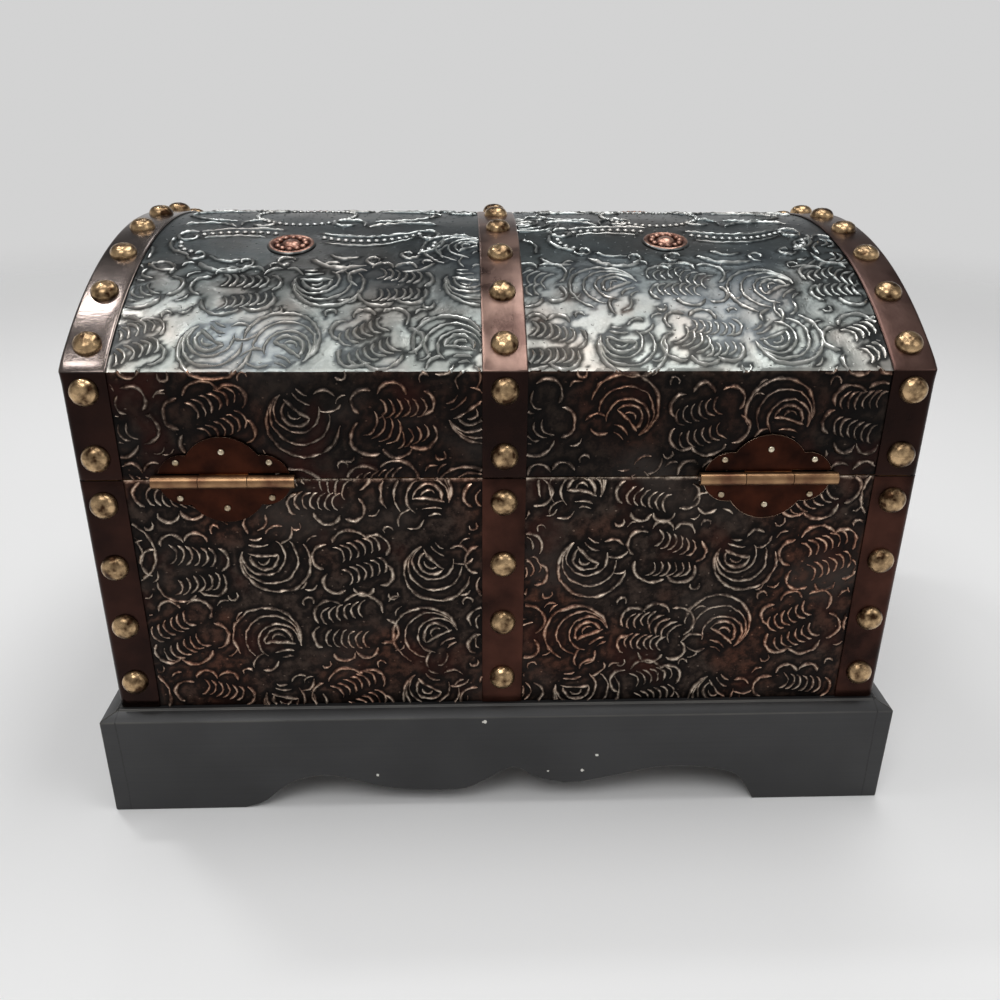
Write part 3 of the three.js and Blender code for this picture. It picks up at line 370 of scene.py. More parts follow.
# Crescents of a fan: radius, first and last angle, and weight. They close up at its heel.
FAN_RINGS = [(9, 222, -22, 0.9), (11.8, 213, -25, 0.9), (14.6, 204, -28, 1.15)]
FAN_HEEL = (6.5, -8.5)
FAN_LEAN = math.radians(-38)
# Lobes of a cloud: centre, radius and the angles that its line runs between. Rows of ribs: the
# first one's place, the step to the next, how many, their radius and their angles.
LOBE_CLOSE = 0.94
LOBE_WEIGHT = 1.2
RIB_CLOSE = 0.9
RIB_WEIGHT = 0.85
ROUND_LOBES = [
    (-9, 8, 7, 212, 34), (4.5, 7.5, 9.2, 138, -8), (12.5, -3, 6.4, 72, -108), (4, -11, 5, 2, -172),
    (-6, -11.5, 4.8, -12, -176), (-12.5, -3.2, 6, 112, 246),
]
ROUND_ROWS = [(-8.4, 6.4, 3.2, 0.4, 6, 5, 100, 222), (-8.4, -4.6, 3.2, -0.5, 6, 5, 106, 238)]
SWEPT_LOBES = [
    (-10, 7, 6.2, 226, 48), (1, 8, 8.4, 158, 24), (11.5, 4, 6.6, 96, -70), (9, -9, 6, 52, -128),
    (-2.5, -12.5, 4.6, 0, -170), (-11, -7, 5.6, 122, 282),
]
SWEPT_ROWS = [(-7.5, 7.6, 3.2, -0.8, 6, 5, 92, 214), (-9.6, -3, 3.2, -0.9, 6, 4.8, 98, 230)]
CREST_LOBES = [
    (-11, 5, 6.4, 222, 50), (-1.5, 8.5, 6.6, 160, 26), (9, 6.5, 8, 118, -52), (11, -8, 5.4, 66, -118),
    (0.5, -10.5, 6, -8, -168), (-11, -8.5, 5.2, 96, 258),
]
CREST_ROWS = [
    (-9.5, 3.4, 3.1, 1, 4, 4.8, 110, 228), (3, 2.6, 3.1, -1.1, 4, 6.6, 96, 216),
    (-8.6, -6.8, 3.1, 0.2, 6, 4.6, 104, 240),
]
FILLERS = [
    (-1.5, 15.5, 2.6, 1.8, 215, -20, 0.9), (0.5, -16.5, 2.4, 1.8, 35, -170, 0.9), (32, 12, 37, 14, 1.4, 0.8),
    (-34, 9, -31, 13.5, 1, 0.75), (31.5, -13, 36, -10, -1.2, 0.75),
]
# Motifs: the fan's place and turn, the cloud's lobes and rows, and the cloud's place, turn and flip
MOTIFS = {
    "motif_round": ((-17.5, 0, 6), ROUND_LOBES, ROUND_ROWS, (15.5, 0.5)),
    "motif_swept": ((-17, 0, -30), SWEPT_LOBES, SWEPT_ROWS, (15.5, 0, 8, -1)),
    "motif_crest": ((-17, 1, 40), CREST_LOBES, CREST_ROWS, (15, 0, -8)),
}


def scroll(x, y, start_radius, end_radius, start, end, weight):
    """A scroll about a centre, as points in millimetres, with its line's weight."""
    steps = max(LINE_STEPS, int(abs(math.radians(end - start)) * max(start_radius, end_radius) / LINE_STEP))
    points = []
    for step in range(steps + 1):
        share = step / steps
        radius = start_radius + (end_radius - start_radius) * share
        angle = math.radians(start + (end - start) * share)
        points.append((x + radius * math.cos(angle), y + radius * math.sin(angle)))
    return points, weight


def bow(x0, y0, x1, y1, rise, weight):
    """A bent line from one point to another that rises to its left in between."""
    span = math.hypot(x1 - x0, y1 - y0)
    steps = max(LINE_STEPS + 1, int(span / LINE_STEP))
    points = []
    for step in range(steps + 1):
        share = step / steps
        lift = rise * 4 * share * (1 - share) / span
        x = x0 + (x1 - x0) * share - (y1 - y0) * lift
        y = y0 + (y1 - y0) * share + (x1 - x0) * lift
        points.append((x, y))
    return points, weight


def strokes(rows):
    """Strokes from their rows of six or seven numbers."""
    return [(scroll if len(row) == 7 else bow)(*row) for row in rows]


def fan():
    """A fan: a hooded core on a flat foot inside crescents that close up at one side."""
    rings = []
    for radius, start, end, weight in FAN_RINGS:
        x = FAN_HEEL[0] - radius * math.cos(FAN_LEAN)
        y = FAN_HEEL[1] - radius * math.sin(FAN_LEAN)
        rings.append((x, y, radius, radius, start, end, weight))
    return strokes(FAN_CORE + rings + FAN_FOOT)


def cloud(lobes, rows):
    """A cloud: an outline of lobes round slanting rows of nested ribs."""
    lines = []
    for x, y, radius, start, end in lobes:
        lines.append((x, y, radius, radius * LOBE_CLOSE, start, end, LOBE_WEIGHT))
    for x, y, step_x, step_y, count, radius, start, end in rows:
        for rib in range(count):
            middle = (x + step_x * rib, y + step_y * rib)
            lines.append((*middle, radius, radius * RIB_CLOSE, start, end, RIB_WEIGHT))
    return strokes(lines)


def moved(lines, x, y, turn=0, flip=1):
    """Strokes turned, flipped top to bottom or not, and moved."""
    cos, sin = math.cos(math.radians(turn)), math.sin(math.radians(turn))
    result = []
    for points, weight in lines:
        shifted = [(x + a * cos - b * flip * sin, y + a * sin + b * flip * cos) for a, b in points]
        result.append((shifted, weight))
    return result


def add_spline(curves, points, weight=1):
    """A run of straight lines through points in millimetres, added to a curve."""
    spline = curves.splines.new("POLY")
    spline.points.add(len(points) - 1)
    for point, (x, y) in zip(spline.points, points):
        point.co = (x * MM, y * MM, 0, 1)
        point.radius = weight
    return spline


def stroke_curves(name, lines):
    """Strokes as one curve object in a bay's own flat space, each point keeping its weight."""
    curves = bpy.data.curves.new(name, "CURVE")
    curves.dimensions = "3D"
    for points, weight in lines:
        add_spline(curves, points, weight)
    return bpy.data.objects.new(name, curves)


def ridge_section():
    """The closed section of a raised line: a rounded crest whose foot is sunk in the sheet."""
    curves = bpy.data.curves.new("ridge_section", "CURVE")
    outline = [(x * RIDGE_HALF, -y * (RIDGE_RISE if y > 0 else RIDGE_SINK)) for x, y in RIDGE_SECTION]
    add_spline(curves, outline).use_cyclic_u = True
    return bpy.data.objects.new("ridge_section", curves)


def circle(x, y, radius, sides):
    """Points round a circle."""
    turns = [2 * math.pi * side / sides for side in range(sides)]
    return [(x + radius * math.cos(angle), y + radius * math.sin(angle)) for angle in turns]


def shaped(name, corners, faces):
    """A mesh from corners in millimetres."""
    mesh = bpy.data.meshes.new(name)
    mesh.from_pydata([tuple(value * MM for value in corner) for corner in corners], [], faces)
    return mesh


def seats(name, places):
    """Flat plates in a bay's own space, the shape of a hinge's leaves, under which it stays flat."""
    corners = []
    for x, y in places:
        for across, along, radius in LEAF_LOBES:
            corners += [(*corner, 0) for corner in circle(x + across, y + along, radius, SEAT_SIDES)]
    faces = [tuple(range(start, start + SEAT_SIDES)) for start in range(0, len(corners), SEAT_SIDES)]
    return bpy.data.objects.new(name, shaped(name, corners, faces))


def new_tree(name, inputs):
    """A Geometry Nodes tree, what adds its nodes, and its named inputs."""
    tree = bpy.data.node_groups.new(name, "GeometryNodeTree")
    for kind, labels in inputs.items():
        for label in labels:
            tree.interface.new_socket(label, in_out="INPUT", socket_type=f"NodeSocket{kind}")
    tree.interface.new_socket("Made", in_out="OUTPUT", socket_type="NodeSocketGeometry")
    return tree, partial(add, tree), tree.nodes.new("NodeGroupInput").outputs


def close_tree(node, made, finish):
    """The end of a tree: what it made is turned into a plain mesh and given its finish."""
    real = node("GeometryNodeRealizeInstances", made)
    node("NodeGroupOutput", node("GeometryNodeSetMaterial", {0: real, "Material": finish}))


def run_tree(piece, tree, values):
    """A piece made by a tree from its named inputs, which are set by their identifiers."""
    work = piece.modifiers.new("work", "NODES")
    work.node_group = tree
    for item in tree.interface.items_tree:
        if item.in_out == "INPUT" and item.name in values:
            work[item.identifier] = values[item.name]
    bake(piece)


def bay_tree():
    """The nodes that emboss one bay, flat: X across, Y along the sheet and Z out of it."""
    tree, node, given = new_tree("embossed_bay", {
        "Float": ("Width", "Length", "Tuck", "Arch radius", "Arch drop", "Band half"),
        "Int": ("Cells across", "Cells along", "Motifs across", "Motifs along", "Seed"),
        "Vector": ("Clear centre", "Clear reach"),
        "Object": ("Drawn lines", "Drawn beads", "Bosses", "Seats", "Section"),
        "Bool": ("Arched",), "Collection": ("Motifs",), "Material": ("Finish",),
    })
    seed = {"Seed": given["Seed"]}
    position = node("GeometryNodeInputPosition")
    x, y, z = node("ShaderNodeSeparateXYZ", position).node.outputs
    radius_squared = node("ShaderNodeMath", given["Arch radius"], 2, operation="POWER")
    chord = node("ShaderNodeMath", x, 2, operation="POWER")
    chord = node("ShaderNodeMath", radius_squared, chord, operation="SUBTRACT")
    chord = node("ShaderNodeMath", chord, operation="SQRT")
    arch = node("ShaderNodeMath", chord, given["Arch drop"], operation="SUBTRACT")
    top = node("GeometryNodeSwitch", given["Arched"], given["Length"], arch, input_type="FLOAT")

    def strayed(shape, spread, reach, detail):
        """A shape whose points stray to the sides by swells of noise."""
        swell = node("ShaderNodeTexNoise", {"Vector": position, "Scale": per_mm(spread), "Detail": detail})
        centred = node(
            "ShaderNodeVectorMath", swell.node.outputs["Color"], (0.5, 0.5, 0.5), operation="SUBTRACT"
        )
        offset = (2 * reach * MM, 2 * reach * MM, 0)
        offset = node("ShaderNodeVectorMath", centred, offset, operation="MULTIPLY")
        return node("GeometryNodeSetPosition", {"Geometry": shape, "Offset": offset})

    sizes = []
    for count, step in ((given["Motifs across"], MOTIF_ACROSS), (given["Motifs along"], MOTIF_ALONG)):
        gaps = node("ShaderNodeMath", count, 1, operation="SUBTRACT")
        sizes.append(node("ShaderNodeMath", gaps, step * MM, operation="MULTIPLY"))
    lattice = node("GeometryNodeMeshGrid", *sizes, given["Motifs across"], given["Motifs along"])
    odd = node("ShaderNodeMath", node("GeometryNodeInputIndex"), 2, operation="MODULO")
    least = tuple(-value for value in MOTIF_STRAY)
    stray = node("FunctionNodeRandomValue", least, MOTIF_STRAY, seed, data_type="FLOAT_VECTOR")
    aside = node("ShaderNodeMath", odd, 0.5, operation="SUBTRACT")
    aside = node("ShaderNodeMath", aside, MOTIF_ACROSS / 2 * MM, operation="MULTIPLY")
    middle = node("ShaderNodeMath", given["Length"], 0.5, operation="MULTIPLY")
    offset = node("ShaderNodeCombineXYZ", aside, middle)
    offset = node("ShaderNodeVectorMath", offset, stray, operation="ADD")
    spots = node("GeometryNodeSetPosition", {"Geometry": lattice, "Offset": offset})
    away = node("ShaderNodeVectorMath", position, given["Clear centre"], operation="SUBTRACT")
    away = node("ShaderNodeVectorMath", away, given["Clear reach"], operation="DIVIDE")
    away = node("ShaderNodeVectorMath", away, operation="LENGTH")
    close = node("ShaderNodeMath", away, 1, operation="LESS_THAN")
    cleared = node("GeometryNodeDeleteGeometry", spots, close, domain="POINT")
    motifs = node("GeometryNodeCollectionInfo", given["Motifs"], True, True)
    pick = node("FunctionNodeRandomValue", 0, len(MOTIFS) - 1, seed, data_type="INT")
    lean = node("FunctionNodeRandomValue", -MOTIF_LEAN, MOTIF_LEAN, seed, data_type="FLOAT")
    size = node("FunctionNodeRandomValue", *MOTIF_SIZES, seed, data_type="FLOAT")
    turn = node("ShaderNodeMath", odd, math.pi, lean, operation="MULTIPLY_ADD")
    way = node("FunctionNodeEulerToRotation", node("ShaderNodeCombineXYZ", {2: turn}))
    laid = node("GeometryNodeInstanceOnPoints", {
        "Points": cleared, "Instance": motifs, "Pick Instance": True, "Instance Index": pick,
        "Rotation": way, "Scale": node("ShaderNodeCombineXYZ", size, size, 1),
    })
    lines = node("GeometryNodeRealizeInstances", laid)
    drawn = node("GeometryNodeObjectInfo", given["Drawn lines"]).node.outputs["Geometry"]
    lines = node("GeometryNodeJoinGeometry", [lines, drawn])
    lines = strayed(lines, WOBBLE_SPREAD, WOBBLE, 1)
    lines = node("GeometryNodeResampleCurve", {"Curve": lines, "Length": LINE_STEP * MM}, mode="LENGTH")
    lines = strayed(lines, NUDGE_SPREAD, NUDGE, 0)
    upright = node("GeometryNodeSetCurveNormal", lines, mode="Z_UP")

    share = node("GeometryNodeSplineParameter")
    taper = node("ShaderNodeMath", 1, share, operation="SUBTRACT")
    taper = node("ShaderNodeMath", share, taper, operation="MULTIPLY")
    taper = node("ShaderNodeMath", taper, *TAPER, operation="MULTIPLY_ADD")
    taper = node("ShaderNodeMath", taper, 1, operation="MINIMUM")
    uneven = node("ShaderNodeTexNoise", {"Vector": position, "Scale": per_mm(PRESS_SPREAD), "Detail": 1})
    press = node("ShaderNodeMapRange", uneven, *PRESS)
    press = node("ShaderNodeMath", taper, press, operation="MULTIPLY")
    press = node("ShaderNodeMath", press, node("GeometryNodeInputRadius"), operation="MULTIPLY")
    section = node("GeometryNodeObjectInfo", given["Section"]).node.outputs["Geometry"]
    crest = node("ShaderNodeMath", y, -1 / (RIDGE_RISE * MM), operation="MULTIPLY")
    crest = node("ShaderNodeMath", crest, 0, operation="MAXIMUM")
    section = node("GeometryNodeStoreNamedAttribute", {"Geometry": section, "Name": "rub", "Value": crest})
    ridges = node("GeometryNodeCurveToMesh", {
        "Curve": upright, "Profile Curve": section, "Scale": press, "Fill Caps": True,
    })

    wires = node("GeometryNodeCurveToMesh", lines)
    near = node("GeometryNodeProximity", wires, target_element="EDGES").node.outputs["Distance"]
    puff = node("ShaderNodeMapRange", near, *PUFF, interpolation_type="SMOOTHSTEP")
    dents = node("ShaderNodeTexNoise", {"Vector": position, "Scale": per_mm(PUCKER_SPREAD), "Detail": 2})
    lift = node("ShaderNodeMath", dents, PUCKER * MM, operation="MULTIPLY")
    lift = node("ShaderNodeMath", puff, lift, operation="ADD")
    half = node("ShaderNodeMath", given["Width"], 0.5, operation="MULTIPLY")
    aside = node("ShaderNodeMath", x, operation="ABSOLUTE")
    plates = node("GeometryNodeObjectInfo", given["Seats"]).node.outputs["Geometry"]
    seated_by = node("GeometryNodeProximity", plates, target_element="FACES").node.outputs["Distance"]
    inside = y
    for far, edge in ((top, y), (half, aside), (aside, given["Band half"]), (seated_by, SEAT_RIM * MM)):
        room = node("ShaderNodeMath", far, edge, operation="SUBTRACT")
        inside = node("ShaderNodeMath", inside, room, operation="MINIMUM")
    fade = node("ShaderNodeMapRange", inside, 0, EDGE_FADE * MM, 0, 1)
    lift = node("ShaderNodeMath", lift, fade, operation="MULTIPLY")
    raised = node("ShaderNodeCombineXYZ", {2: lift})
    ridges = node("GeometryNodeSetPosition", {"Geometry": ridges, "Offset": raised})
    past = node("ShaderNodeMath", inside, RIDGE_TRIM * MM, operation="LESS_THAN")
    ridges = node("GeometryNodeDeleteGeometry", ridges, past, domain="FACE")

    wide = node("ShaderNodeMath", given["Tuck"], 2, given["Width"], operation="MULTIPLY_ADD")
    field = node("GeometryNodeMeshGrid", wide, given["Length"], given["Cells across"], given["Cells along"])
    stretch = node("ShaderNodeMath", given["Length"], 0.5, y, operation="MULTIPLY_ADD")
    stretch = node("ShaderNodeMath", stretch, top, operation="MULTIPLY")
    stretch = node("ShaderNodeMath", stretch, given["Length"], operation="DIVIDE")
    fitted = node("ShaderNodeCombineXYZ", x, stretch)
    field = node("GeometryNodeSetPosition", {"Geometry": field, "Position": fitted})
    shade = node("ShaderNodeMapRange", near, *FIELD_RUB)
    inner = node("GeometryNodeStoreNamedAttribute", {"Geometry": field, "Name": "rub", "Value": shade})
    sunk = node("ShaderNodeMath", lift, SHEET * MM, operation="SUBTRACT")
    sunk = node("ShaderNodeCombineXYZ", {2: sunk})
    inner = node("GeometryNodeSetPosition", {"Geometry": inner, "Offset": sunk})
    outer = node("GeometryNodeExtrudeMesh", {
        "Mesh": inner, "Offset": (0, 0, 1), "Offset Scale": SHEET * MM, "Individual": False,
    })
    plate = node("GeometryNodeJoinGeometry", [outer, node("GeometryNodeFlipFaces", inner)])
    plate = node("GeometryNodeMergeByDistance", {0: plate, "Distance": SHEET_WELD * MM})

    proud = []
    row = node("GeometryNodeObjectInfo", given["Drawn beads"]).node.outputs["Geometry"]
    row = node("GeometryNodeCurveToPoints", {0: row, "Length": BEAD_STEP * MM}, mode="LENGTH")
    strewn = node(
        "GeometryNodeDistributePointsOnFaces",
        {0: field, "Distance Min": CRUMB_STEP * MM, "Density Max": CRUMB_DENSITY, **seed},
        distribute_method="POISSON",
    )
    by_line = node("ShaderNodeMath", near, CRUMB_CLEAR * MM, operation="LESS_THAN")
    by_edge = node("ShaderNodeMath", inside, CRUMB_EDGE * MM, operation="LESS_THAN")
    close = node("ShaderNodeMath", by_line, by_edge, operation="MAXIMUM")
    loose = node("GeometryNodeDeleteGeometry", strewn, close, domain="POINT")
    grain = node("FunctionNodeRandomValue", *CRUMB_SCALES, seed, data_type="FLOAT_VECTOR")
    for points, radius, level, scale, rub_and_reflection in (
        (row, BEAD_SIZE, 2, BEAD_SCALE, BEAD_RUB), (loose, CRUMB_SIZE, 1, grain, CRUMB_RUB),
    ):
        ball = node("GeometryNodeMeshIcoSphere", radius * MM, level)
        balls = node("GeometryNodeInstanceOnPoints", {"Points": points, "Instance": ball, "Scale": scale})
        balls = node("GeometryNodeRealizeInstances", balls)
        toned = {"Geometry": balls, "Name": "rub", "Value": node("ShaderNodeMapRange", z, *rub_and_reflection)}
        proud.append(node("GeometryNodeStoreNamedAttribute", toned))
    proud.append(node("GeometryNodeObjectInfo", given["Bosses"]).node.outputs["Geometry"])
    proud = node("GeometryNodeJoinGeometry", proud)
    proud = node("GeometryNodeSetPosition", {"Geometry": proud, "Offset": raised})
    close_tree(node, node("GeometryNodeJoinGeometry", [plate, ridges, proud]), given["Finish"])
    return tree


def embossed(values):
    """One bay's flat mesh, made by the bay's tree from its named inputs."""
    blank = bpy.data.objects.new("blank_sheet", bpy.data.meshes.new("blank_sheet"))
    bpy.context.scene.collection.objects.link(blank)
    run_tree(blank, bay_nodes, values)
    mesh = blank.data
    bpy.data.objects.remove(blank)
    return mesh


# Rubbed sheet: colours from the oxide at the foot of a line to its bare crest, cool and warm, and
# clouds of tint as colour, spread and range. The box's copy is paler than the lid's, painted lighter
# for the bright floor that its low upright faces reflect.
RUB_PLACES = (0, 0.2, 0.38, 0.56, 0.78, 1)
PEWTER_PLACES = (0, 0.12, 0.27, 0.75, 1)
ROSETTE_PLACES = (0, 0.4, 1)
LID_COPPER = (
    "#050404 #130e0c #28201b #493f38 #75685e #a69789", "#060303 #180e0a #331f18 #53392e #83624f #b3917a",
)
# Painted reflection: the box's copy of the sheet is paler than the lid's, for the bright floor it reflects
# low down
BOX_COPPER_PAINTED_PALE = (
    "#060505 #1a1310 #3a2f29 #6d6056 #ab9b8b #dccdbc", "#080404 #20130e #4a2e23 #7b5746 #bb9079 #e4c1a5",
)
# Painted reflection: the dome's pewter is paler and greyer than the rails' copper, for the light it reflects
# from above
PEWTER_PAINTED_PALE = ("#0d0e0e #3c3f3e #858985 #b3b5b0 #dcdcd8", "#0e0d0c #3f3c38 #8f8982 #b8b1a9 #dcd6ce")
ROSETTE_COPPER = ("#1a0f0c #4f3029 #b08c7c", "#1a0f0c #5c372c #bf9684")
LID_TINTS = [("#33150f", 34, 0.56, 0.8), ("#332d2a", 48, 0.55, 0.75)]
BOX_TINTS_PAINTED_PALE = [("#3a1911", 34, 0.56, 0.8), ("#39322e", 48, 0.55, 0.75)]
PEWTER_TINTS = [("#6b5548", 30, 0.66, 0.9), ("#6a7074", 55, 0.5, 0.8)]
COPPER_GLOSS = {"mottle": 0.4, "metal": (0.85, 0.9), "rough": (0.42, 0.34)}
PEWTER_GLOSS = {"mottle": 0.78, "metal": (0.92, 0.95), "rough": (0.34, 0.3)}
ROSETTE_GLOSS = {"mottle": 0.5, "metal": (0.9, 0.95), "rough": (0.4, 0.3)}
# Painted shade: the dome's pewter darkens towards the crown, its crests less so, for the dimmer reflection
# there
CROWN_PAINTED_SHADE = (DOME_CENTRE + 192 * MM, DOME_CENTRE + 222 * MM, "#8f979e")
WEAR_SPREAD = 5
WORN = (0.34, 0.6)
WORN_MOST = 1.1
HUE_SPREAD = 42
WARM = (0.46, 0.64)
TINT_ON_CREST = (0.4, 0.6, 1, 0.15)
PAINTED_SHADE_ON_CREST = (0.45, 0.65, 1, 0.5)
METAL_FROM = (0.36, 0.55)
GLOSS_FROM = (0.4, 0.8)
GRIME_SPREAD = 18
GRIME = 0.3
HAMMER_SPREAD = 2.2
HAMMER_DEPTH = 0.15


def rubbed_sheet(name, places, tones, tints, mottle, metal, rough, painted_crown_shade=None):
    """Embossed and rubbed sheet: oxide at the foot of each line, tinted field, bright crest."""
    material, node, place = new_finish(name)
    rub = node("ShaderNodeAttribute", attribute_name="rub").node.outputs["Fac"]
    wear = {"Vector": place, "Scale": per_mm(WEAR_SPREAD), "Detail": 5, "Roughness": 0.7}
    worn = node("ShaderNodeMapRange", node("ShaderNodeTexNoise", wear), *WORN, mottle, WORN_MOST)
    shown = node("ShaderNodeMath", rub, worn, operation="MULTIPLY")
    hue = node("ShaderNodeTexNoise", {"Vector": place, "Scale": per_mm(HUE_SPREAD), "Detail": 3})
    ramps = [node("ShaderNodeValToRGB", shown, stops=zip(places, row.split())) for row in tones]
    colour = node("ShaderNodeMix", node("ShaderNodeMapRange", hue, *WARM), *ramps, data_type="RGBA")
    for tint, spread, low, high in tints:
        cloud = node("ShaderNodeTexNoise", {"Vector": place, "Scale": per_mm(spread), "Detail": 4})
        part = node("ShaderNodeMapRange", cloud, low, high)
        flat = node("ShaderNodeMapRange", shown, *TINT_ON_CREST)
        part = node("ShaderNodeMath", part, flat, operation="MULTIPLY")
        colour = node("ShaderNodeMix", part, colour, tint, data_type="RGBA")
    # Painted shade: darker towards the crown, by height
    if painted_crown_shade:
        low, high, tint = painted_crown_shade
        height = node("ShaderNodeSeparateXYZ", place).node.outputs[2]
        most = node("ShaderNodeMapRange", shown, *PAINTED_SHADE_ON_CREST)
        part = node("ShaderNodeMapRange", height, low, high, 0, most)
        colour = node("ShaderNodeMix", part, colour, tint, data_type="RGBA", blend_type="MULTIPLY")
    metal = node("ShaderNodeMapRange", shown, *METAL_FROM, *metal)
    rough = node("ShaderNodeMapRange", shown, *GLOSS_FROM, *rough)
    grime = node("ShaderNodeTexNoise", {"Vector": place, "Scale": per_mm(GRIME_SPREAD), "Detail": 4})
    rough = node("ShaderNodeMath", grime, GRIME, rough, operation="MULTIPLY_ADD")
    rough = node("ShaderNodeMath", rough, GRIME / 2, operation="SUBTRACT")
    hammered = node("ShaderNodeTexNoise", {"Vector": place, "Scale": per_mm(HAMMER_SPREAD), "Detail": 2})
    relief = node("ShaderNodeBump", {"Height": hammered, "Distance": HAMMER_DEPTH * MM, "Strength": 0.8})
    return dressed(material, Base_Color=colour, Metallic=metal, Roughness=rough, Normal=relief)


lid_copper = rubbed_sheet("rubbed_copper_over_oxide", RUB_PLACES, LID_COPPER, LID_TINTS, **COPPER_GLOSS)
box_copper_painted_pale = rubbed_sheet("rubbed_copper_on_box_painted_pale", RUB_PLACES, BOX_COPPER_PAINTED_PALE, BOX_TINTS_PAINTED_PALE, **COPPER_GLOSS)
pewter_painted_pale = rubbed_sheet("rubbed_pewter_painted_pale", PEWTER_PLACES, PEWTER_PAINTED_PALE, PEWTER_TINTS, **PEWTER_GLOSS, painted_crown_shade=CROWN_PAINTED_SHADE)
rosette_copper = rubbed_sheet("rubbed_red_copper", ROSETTE_PLACES, ROSETTE_COPPER, [], **ROSETTE_GLOSS)
motifs = bpy.data.collections.new("motifs")
for name, (fan_place, lobes, rows, cloud_place) in MOTIFS.items():
    lines = moved(fan(), *fan_place) + moved(cloud(lobes, rows), *cloud_place) + strokes(FILLERS)
    motifs.objects.link(stroke_curves(name, lines))
section = ridge_section()
bay_nodes = bay_tree()
FAR_OFF = 1000
nothing_seated = seats("nothing_seated", [(0, -FAR_OFF)])


def cells(length):
    """How many grid lines a length of sheet takes."""
    return int(round(length / (CELL * MM))) + 1


def bay_values(width, length, seed, **others):
    """The named inputs of a bay, filled in for a plain one."""
    values = {
        "Width": width, "Length": length, "Tuck": SHEET_TUCK * MM, "Seed": seed,
        "Cells across": cells(width + 2 * SHEET_TUCK * MM), "Cells along": cells(length),
        "Motifs": motifs, "Motifs across": int(width / (MOTIF_ACROSS * MM)) + 3,
        "Motifs along": 2 * (int(length / (MOTIF_ALONG * MM) / 2) + 2),
        "Clear reach": (MM, MM, MM), "Clear centre": (0, -FAR_OFF * MM, 0), "Section": section,
        "Band half": -FAR_OFF * MM, "Seats": nothing_seated, "Finish": lid_copper,
    }
    values.update(others)
    return values


def positions(mesh):
    """A mesh's corners as rows of numbers."""
    numbers = np.empty(len(mesh.vertices) * 3)
    mesh.vertices.foreach_get("co", numbers)
    return numbers.reshape(-1, 3)


def smoothed(mesh, crease=50):
    """A mesh shaded smooth, apart from its creases."""
    mesh.shade_smooth()
    mesh.set_sharp_from_angle(angle=math.radians(crease))


def refinished(mesh, *finishes):
    """A mesh whose finishes are these alone, its faces all in the first."""
    mesh.materials.clear()
    for finish in finishes:
        mesh.materials.append(finish)


def painted_edge_highlight(mesh, runs, half, level):
    """A mesh given painted highlight lines across it, at given runs along the sheet, by raising its rub
    there.
    """
    rub = mesh.attributes["rub"].data
    values = np.empty(len(mesh.vertices))
    rub.foreach_get("value", values)
    along = positions(mesh)[:, 1]
    for run in runs:
        at_line = np.abs(along - run) < half
        values[at_line] = np.maximum(values[at_line], level)
    rub.foreach_set("value", values)


def flat_cover(name, node, body, mesh, finish, origin, outward):
    """A flat bay stood up against its board, with its foot at the origin point."""
    refinished(mesh, finish)
    up = np.array((0, 0, 1.0))
    outward = np.array(outward, dtype=float)
    across = np.cross(up, outward)
    points = positions(mesh)
    stood = np.array(origin) + points[:, :1] * across + points[:, 1:2] * up + points[:, 2:] * outward
    mesh.vertices.foreach_set("co", stood.ravel())
    mesh.update()
    smoothed(mesh)
    placed(name, mesh, body, [node])


SHEET_X = CASE_X + SHEET_OUT * MM
SHEET_Y = CASE_Y + SHEET_OUT * MM
BODY_RUN = BODY_TOP - BOX_BASE
# Painted highlight: a bright line along the top edge of each box cover, where it rounds over at the seam
TOP_PAINTED_HIGHLIGHT = (0.6 * MM, 0.9)
faces = {
    "back": ((0, SHEET_Y, BOX_BASE), (0, 1, 0), SHEET_X, 11),
    "front": ((0, -SHEET_Y, BOX_BASE), (0, -1, 0), SHEET_X, 12),
    "right": ((SHEET_X, 0, BOX_BASE), (1, 0, 0), SHEET_Y, 13),
    "left": ((-SHEET_X, 0, BOX_BASE), (-1, 0, 0), SHEET_Y, 14),
}
for side, (origin, outward, half, seed) in faces.items():
    others = {}
    if side in ("back", "front"):
        others["Band half"] = STRAP / 2 * MM
    if side == "back":
        seam = (SEAM - BOX_BASE) / MM
        others["Seats"] = seats("seats_body", [(-x, seam) for x in HINGE_PLACES.values()])
    flat = embossed(bay_values(2 * (half - STRAP * MM), BODY_RUN, seed, **others))
    painted_edge_highlight(flat, [BODY_RUN], *TOP_PAINTED_HIGHLIGHT)
    flat_cover(f"body_cover_{side}", f"body_sheet_{side}", "trunk_box", flat, box_copper_painted_pale, origin, outward)

# Lid covers: two bays of the same sheet, each in one run up the back rail, over the dome and down
# the front rail, copper on the rails and pewter on the dome, the pewter painted paler as a reflection
# of the light from above. Each is struck with a beaded medallion across the crown, and with a copper
# rosette on either side of it.
SHEET_R = DOME_RADIUS + SHEET_OUT * MM
EAVE = DOME_CENTRE + math.sqrt(SHEET_R**2 - SHEET_Y**2)
DOME_REACH = math.asin(SHEET_Y / SHEET_R)
RAIL = EAVE - LID_BASE
RAIL_CELLS = 24
ARC_CELLS = 146
LID_CELL = RAIL / RAIL_CELLS
FLAT_ARC = ARC_CELLS * LID_CELL
LID_RUN = 2 * RAIL + FLAT_ARC
CROWN = LID_RUN / 2
BAY_X = (STRAP / 2 * MM + SHEET_X - STRAP * MM) / 2
BAY_WIDTH = SHEET_X - STRAP * MM - STRAP / 2 * MM
# Painted highlight: a bright line across each lid cover at the eaves
EAVE_PAINTED_HIGHLIGHT = (0.2 * LID_CELL, 0.5)
MEDALLION_REACH = (84 * MM, 88 * MM, 1)
